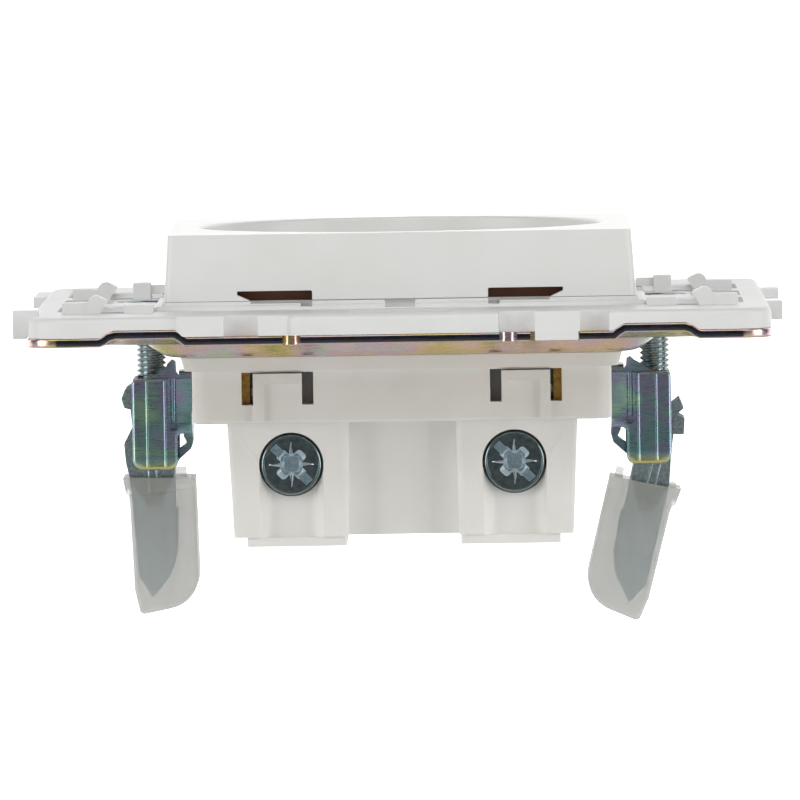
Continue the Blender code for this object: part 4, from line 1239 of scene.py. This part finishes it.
def build_inner_parts():
    """The contacts, the shutter and its spring keep their CAD shapes. The backing behind the latch
    windows and the strips behind the snap slits are guessed, and seen only as slivers."""
    for node, material in (
        ("contact_strip_L", "rolled_brass"), ("contact_strip_R", "rolled_brass"),
        ("contact_spring_L", "spring_steel"), ("contact_spring_R", "spring_steel"),
        ("shutter", "glossy_polycarbonate_white"), ("shutter_guide", "natural_polyamide"),
        ("shutter_spring", "spring_steel"),
    ):
        dressed(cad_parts[node], material)
    # Painted shade: brown sheets where only the shadowed white dish wall lies behind the latch windows.
    window_shade_sheets = [
        block((low, y - 0.1, 3.0), (high, y + 0.1, 4.9))
        for low, high in both(7.9, 16.2) for y in (-20.5, 20.5)
    ]
    strips = [block((low, -18.9, -6.6), (high, -18.7, -3.2)) for low, high in both(14.62, 15.6)]
    for name, parts, material in (
        ("latch_window_painted_shade", window_shade_sheets, "brown_hard_paper"),
        ("side_contacts", strips, "rolled_brass"),
    ):
        piece = combined(name, parts[0], parts[1:])
        dressed(piece, material)
        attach(piece, "housing")


# ---------------------------------------------------------------- stage

def studio_light(name, place, size, power):
    """A soft box that faces the middle of the socket."""
    lamp = bpy.data.lights.new(name, "AREA")
    lamp.shape = "RECTANGLE"
    lamp.size, lamp.size_y = size
    lamp.energy = power
    obj = bpy.data.objects.new(name, lamp)
    obj.location = place
    obj.rotation_mode = "QUATERNION"
    obj.rotation_quaternion = (Vector((0, 0, -0.005)) - Vector(place)).to_track_quat("-Z", "Y")
    bpy.context.scene.collection.objects.link(obj)


def build_stage(settings, colours):
    """Camera, plain floor that curves up behind, and soft boxes above and at the sides."""
    scene = bpy.context.scene
    scene.view_settings.view_transform = "Standard"
    back = Vector((
        math.sin(settings.azimuth) * math.cos(settings.elevation),
        -math.cos(settings.azimuth) * math.cos(settings.elevation),
        math.sin(settings.elevation),
    ))
    lens = bpy.data.cameras.new("camera")
    lens.sensor_width = 36
    lens.lens = settings.lens
    lens.clip_start, lens.clip_end = 0.01, 20
    camera = bpy.data.objects.new("camera", lens)
    camera.location = Vector((settings.aim_x, 0, settings.aim_z)) + back * settings.distance
    camera.rotation_mode = "QUATERNION"
    roll = Matrix.Rotation(settings.roll, 4, "Z").to_quaternion()
    camera.rotation_quaternion = (-back).to_track_quat("-Z", "Y") @ roll
    scene.collection.objects.link(camera)
    scene.camera = camera

    floor_z = -0.15
    bm = bmesh.new()
    profile = [(-2.0, floor_z), (0.9, floor_z)]
    for i in range(1, 9):
        angle = math.pi / 2 * i / 8
        profile.append((0.9 + 0.4 * math.sin(angle), floor_z + 0.4 * (1 - math.cos(angle))))
    profile.append((1.3, 1.6))
    rows = [[bm.verts.new((x, y, z)) for x in (-2.2, 2.2)] for y, z in profile]
    for a, b in zip(rows, rows[1:]):
        bm.faces.new((a[0], a[1], b[1], b[0]))
    mesh = bpy.data.meshes.new("floor")
    bm.to_mesh(mesh)
    bm.free()
    floor = bpy.data.objects.new("floor", mesh)
    scene.collection.objects.link(floor)
    floor.data.shade_smooth()
    # Matt painted board: flat and even, so that it only carries light.
    paint, tree, shader, place = new_material("matt_studio_board", 0.9)
    shader.inputs["Base Color"].default_value = (*colours.floor, 1.0)
    shader.inputs["Emission Color"].default_value = (1, 1, 1, 1)
    depth = add_node(tree, "ShaderNodeSeparateXYZ", inputs={"Vector": place}).outputs["Y"]
    glow = add_node(
        tree, "ShaderNodeMapRange",
        inputs={"Value": depth, "From Min": 0.2, "From Max": 0.7, "To Max": 1.15},
    )
    tree.links.new(glow.outputs["Result"], shader.inputs["Emission Strength"])
    floor.data.materials.append(paint)

    world = bpy.data.worlds.new("studio")
    world.use_nodes = True
    world.node_tree.nodes["Background"].inputs["Color"].default_value = (1, 1, 1, 1)
    world.node_tree.nodes["Background"].inputs["Strength"].default_value = 0.06
    scene.world = world
    studio_light("top_box", (0.0, -0.75, 0.78), (1.3, 0.8), 4.2)
    studio_light("left_box", (-1.0, -0.55, 0.15), (0.6, 1.0), 7.2)
    studio_light("right_box", (1.0, -0.55, 0.15), (0.6, 1.0), 7.2)


# ---------------------------------------------------------------- operators

def piece_operator(key, label, text, build):
    """An operator that builds one piece or group from the scene's settings."""

    def execute(self, context):
        build(context.scene)
        return {"FINISHED"}

    settings = {
        "__doc__": text,
        "bl_idname": f"socket.{key}",
        "bl_label": label,
        "bl_options": {"REGISTER", "UNDO"},
        "execute": execute,
    }
    return type(f"SOCKET_OT_{key}", (bpy.types.Operator,), settings)


def build_claws(sizes):
    build_claw_screws(sizes)
    for name, side in (("L", -1), ("R", 1)):
        build_stirrup(name, side)
        build_lever(name, side)
        build_sleeve(name, side)


OPERATORS = [
    piece_operator(*row)
    for row in (
        ("stage", "Stage", "Sets the floor, the lights and the camera",
         lambda scene: build_stage(scene.socket_stage, scene.socket_colours)),
        ("plate", "Support plate", "Presses the steel support plate",
         lambda scene: build_plate(scene.socket_sizes)),
        ("carrier", "Carrier frame", "Moulds the white carrier frame",
         lambda scene: build_carrier(scene.socket_sizes)),
        ("face", "Socket face", "Moulds the socket face with its round recess",
         lambda scene: build_face()),
        ("base", "Base housing", "Moulds the base housing with its two terminal towers",
         lambda scene: build_base(scene.socket_sizes)),
        ("inner", "Contacts and shutter", "Finishes the contacts and the shutter",
         lambda scene: build_inner_parts()),
        ("terminals", "Terminals", "Turns the two terminal screws and plates their cages",
         lambda scene: build_terminals(scene.socket_sizes)),
        ("claws", "Claws", "Makes both claws: screw, stirrup, lever and sleeve",
         lambda scene: build_claws(scene.socket_sizes)),
    )
]


class SOCKET_PT_panel(bpy.types.Panel):
    """Sidebar panel that lists the pieces and their settings"""

    bl_idname = "SOCKET_PT_panel"
    bl_label = "Wall Socket"
    bl_space_type = "VIEW_3D"
    bl_region_type = "UI"
    bl_category = "Socket"

    def draw(self, context):
        layout = self.layout
        for operator in OPERATORS:
            layout.operator(operator.bl_idname)
        for group in (context.scene.socket_sizes, context.scene.socket_colours, context.scene.socket_stage):
            box = layout.box()
            for key in group.__annotations__:
                box.prop(group, key)


CLASSES = (SocketSizes, SocketColours, StageSettings, *OPERATORS, SOCKET_PT_panel)


def register():
    for cls in CLASSES:
        bpy.utils.register_class(cls)
    bpy.types.Scene.socket_sizes = bpy.props.PointerProperty(type=SocketSizes)
    bpy.types.Scene.socket_colours = bpy.props.PointerProperty(type=SocketColours)
    bpy.types.Scene.socket_stage = bpy.props.PointerProperty(type=StageSettings)


def unregister():
    del bpy.types.Scene.socket_stage
    del bpy.types.Scene.socket_colours
    del bpy.types.Scene.socket_sizes
    for cls in reversed(CLASSES):
        bpy.utils.unregister_class(cls)


def main():
    register()
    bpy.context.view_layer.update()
    bpy.ops.socket.stage()
    bpy.ops.socket.plate()
    bpy.ops.socket.carrier()
    bpy.ops.socket.face()
    bpy.ops.socket.base()
    bpy.ops.socket.inner()
    bpy.ops.socket.terminals()
    bpy.ops.socket.claws()


if __name__ == "__main__":
    main()
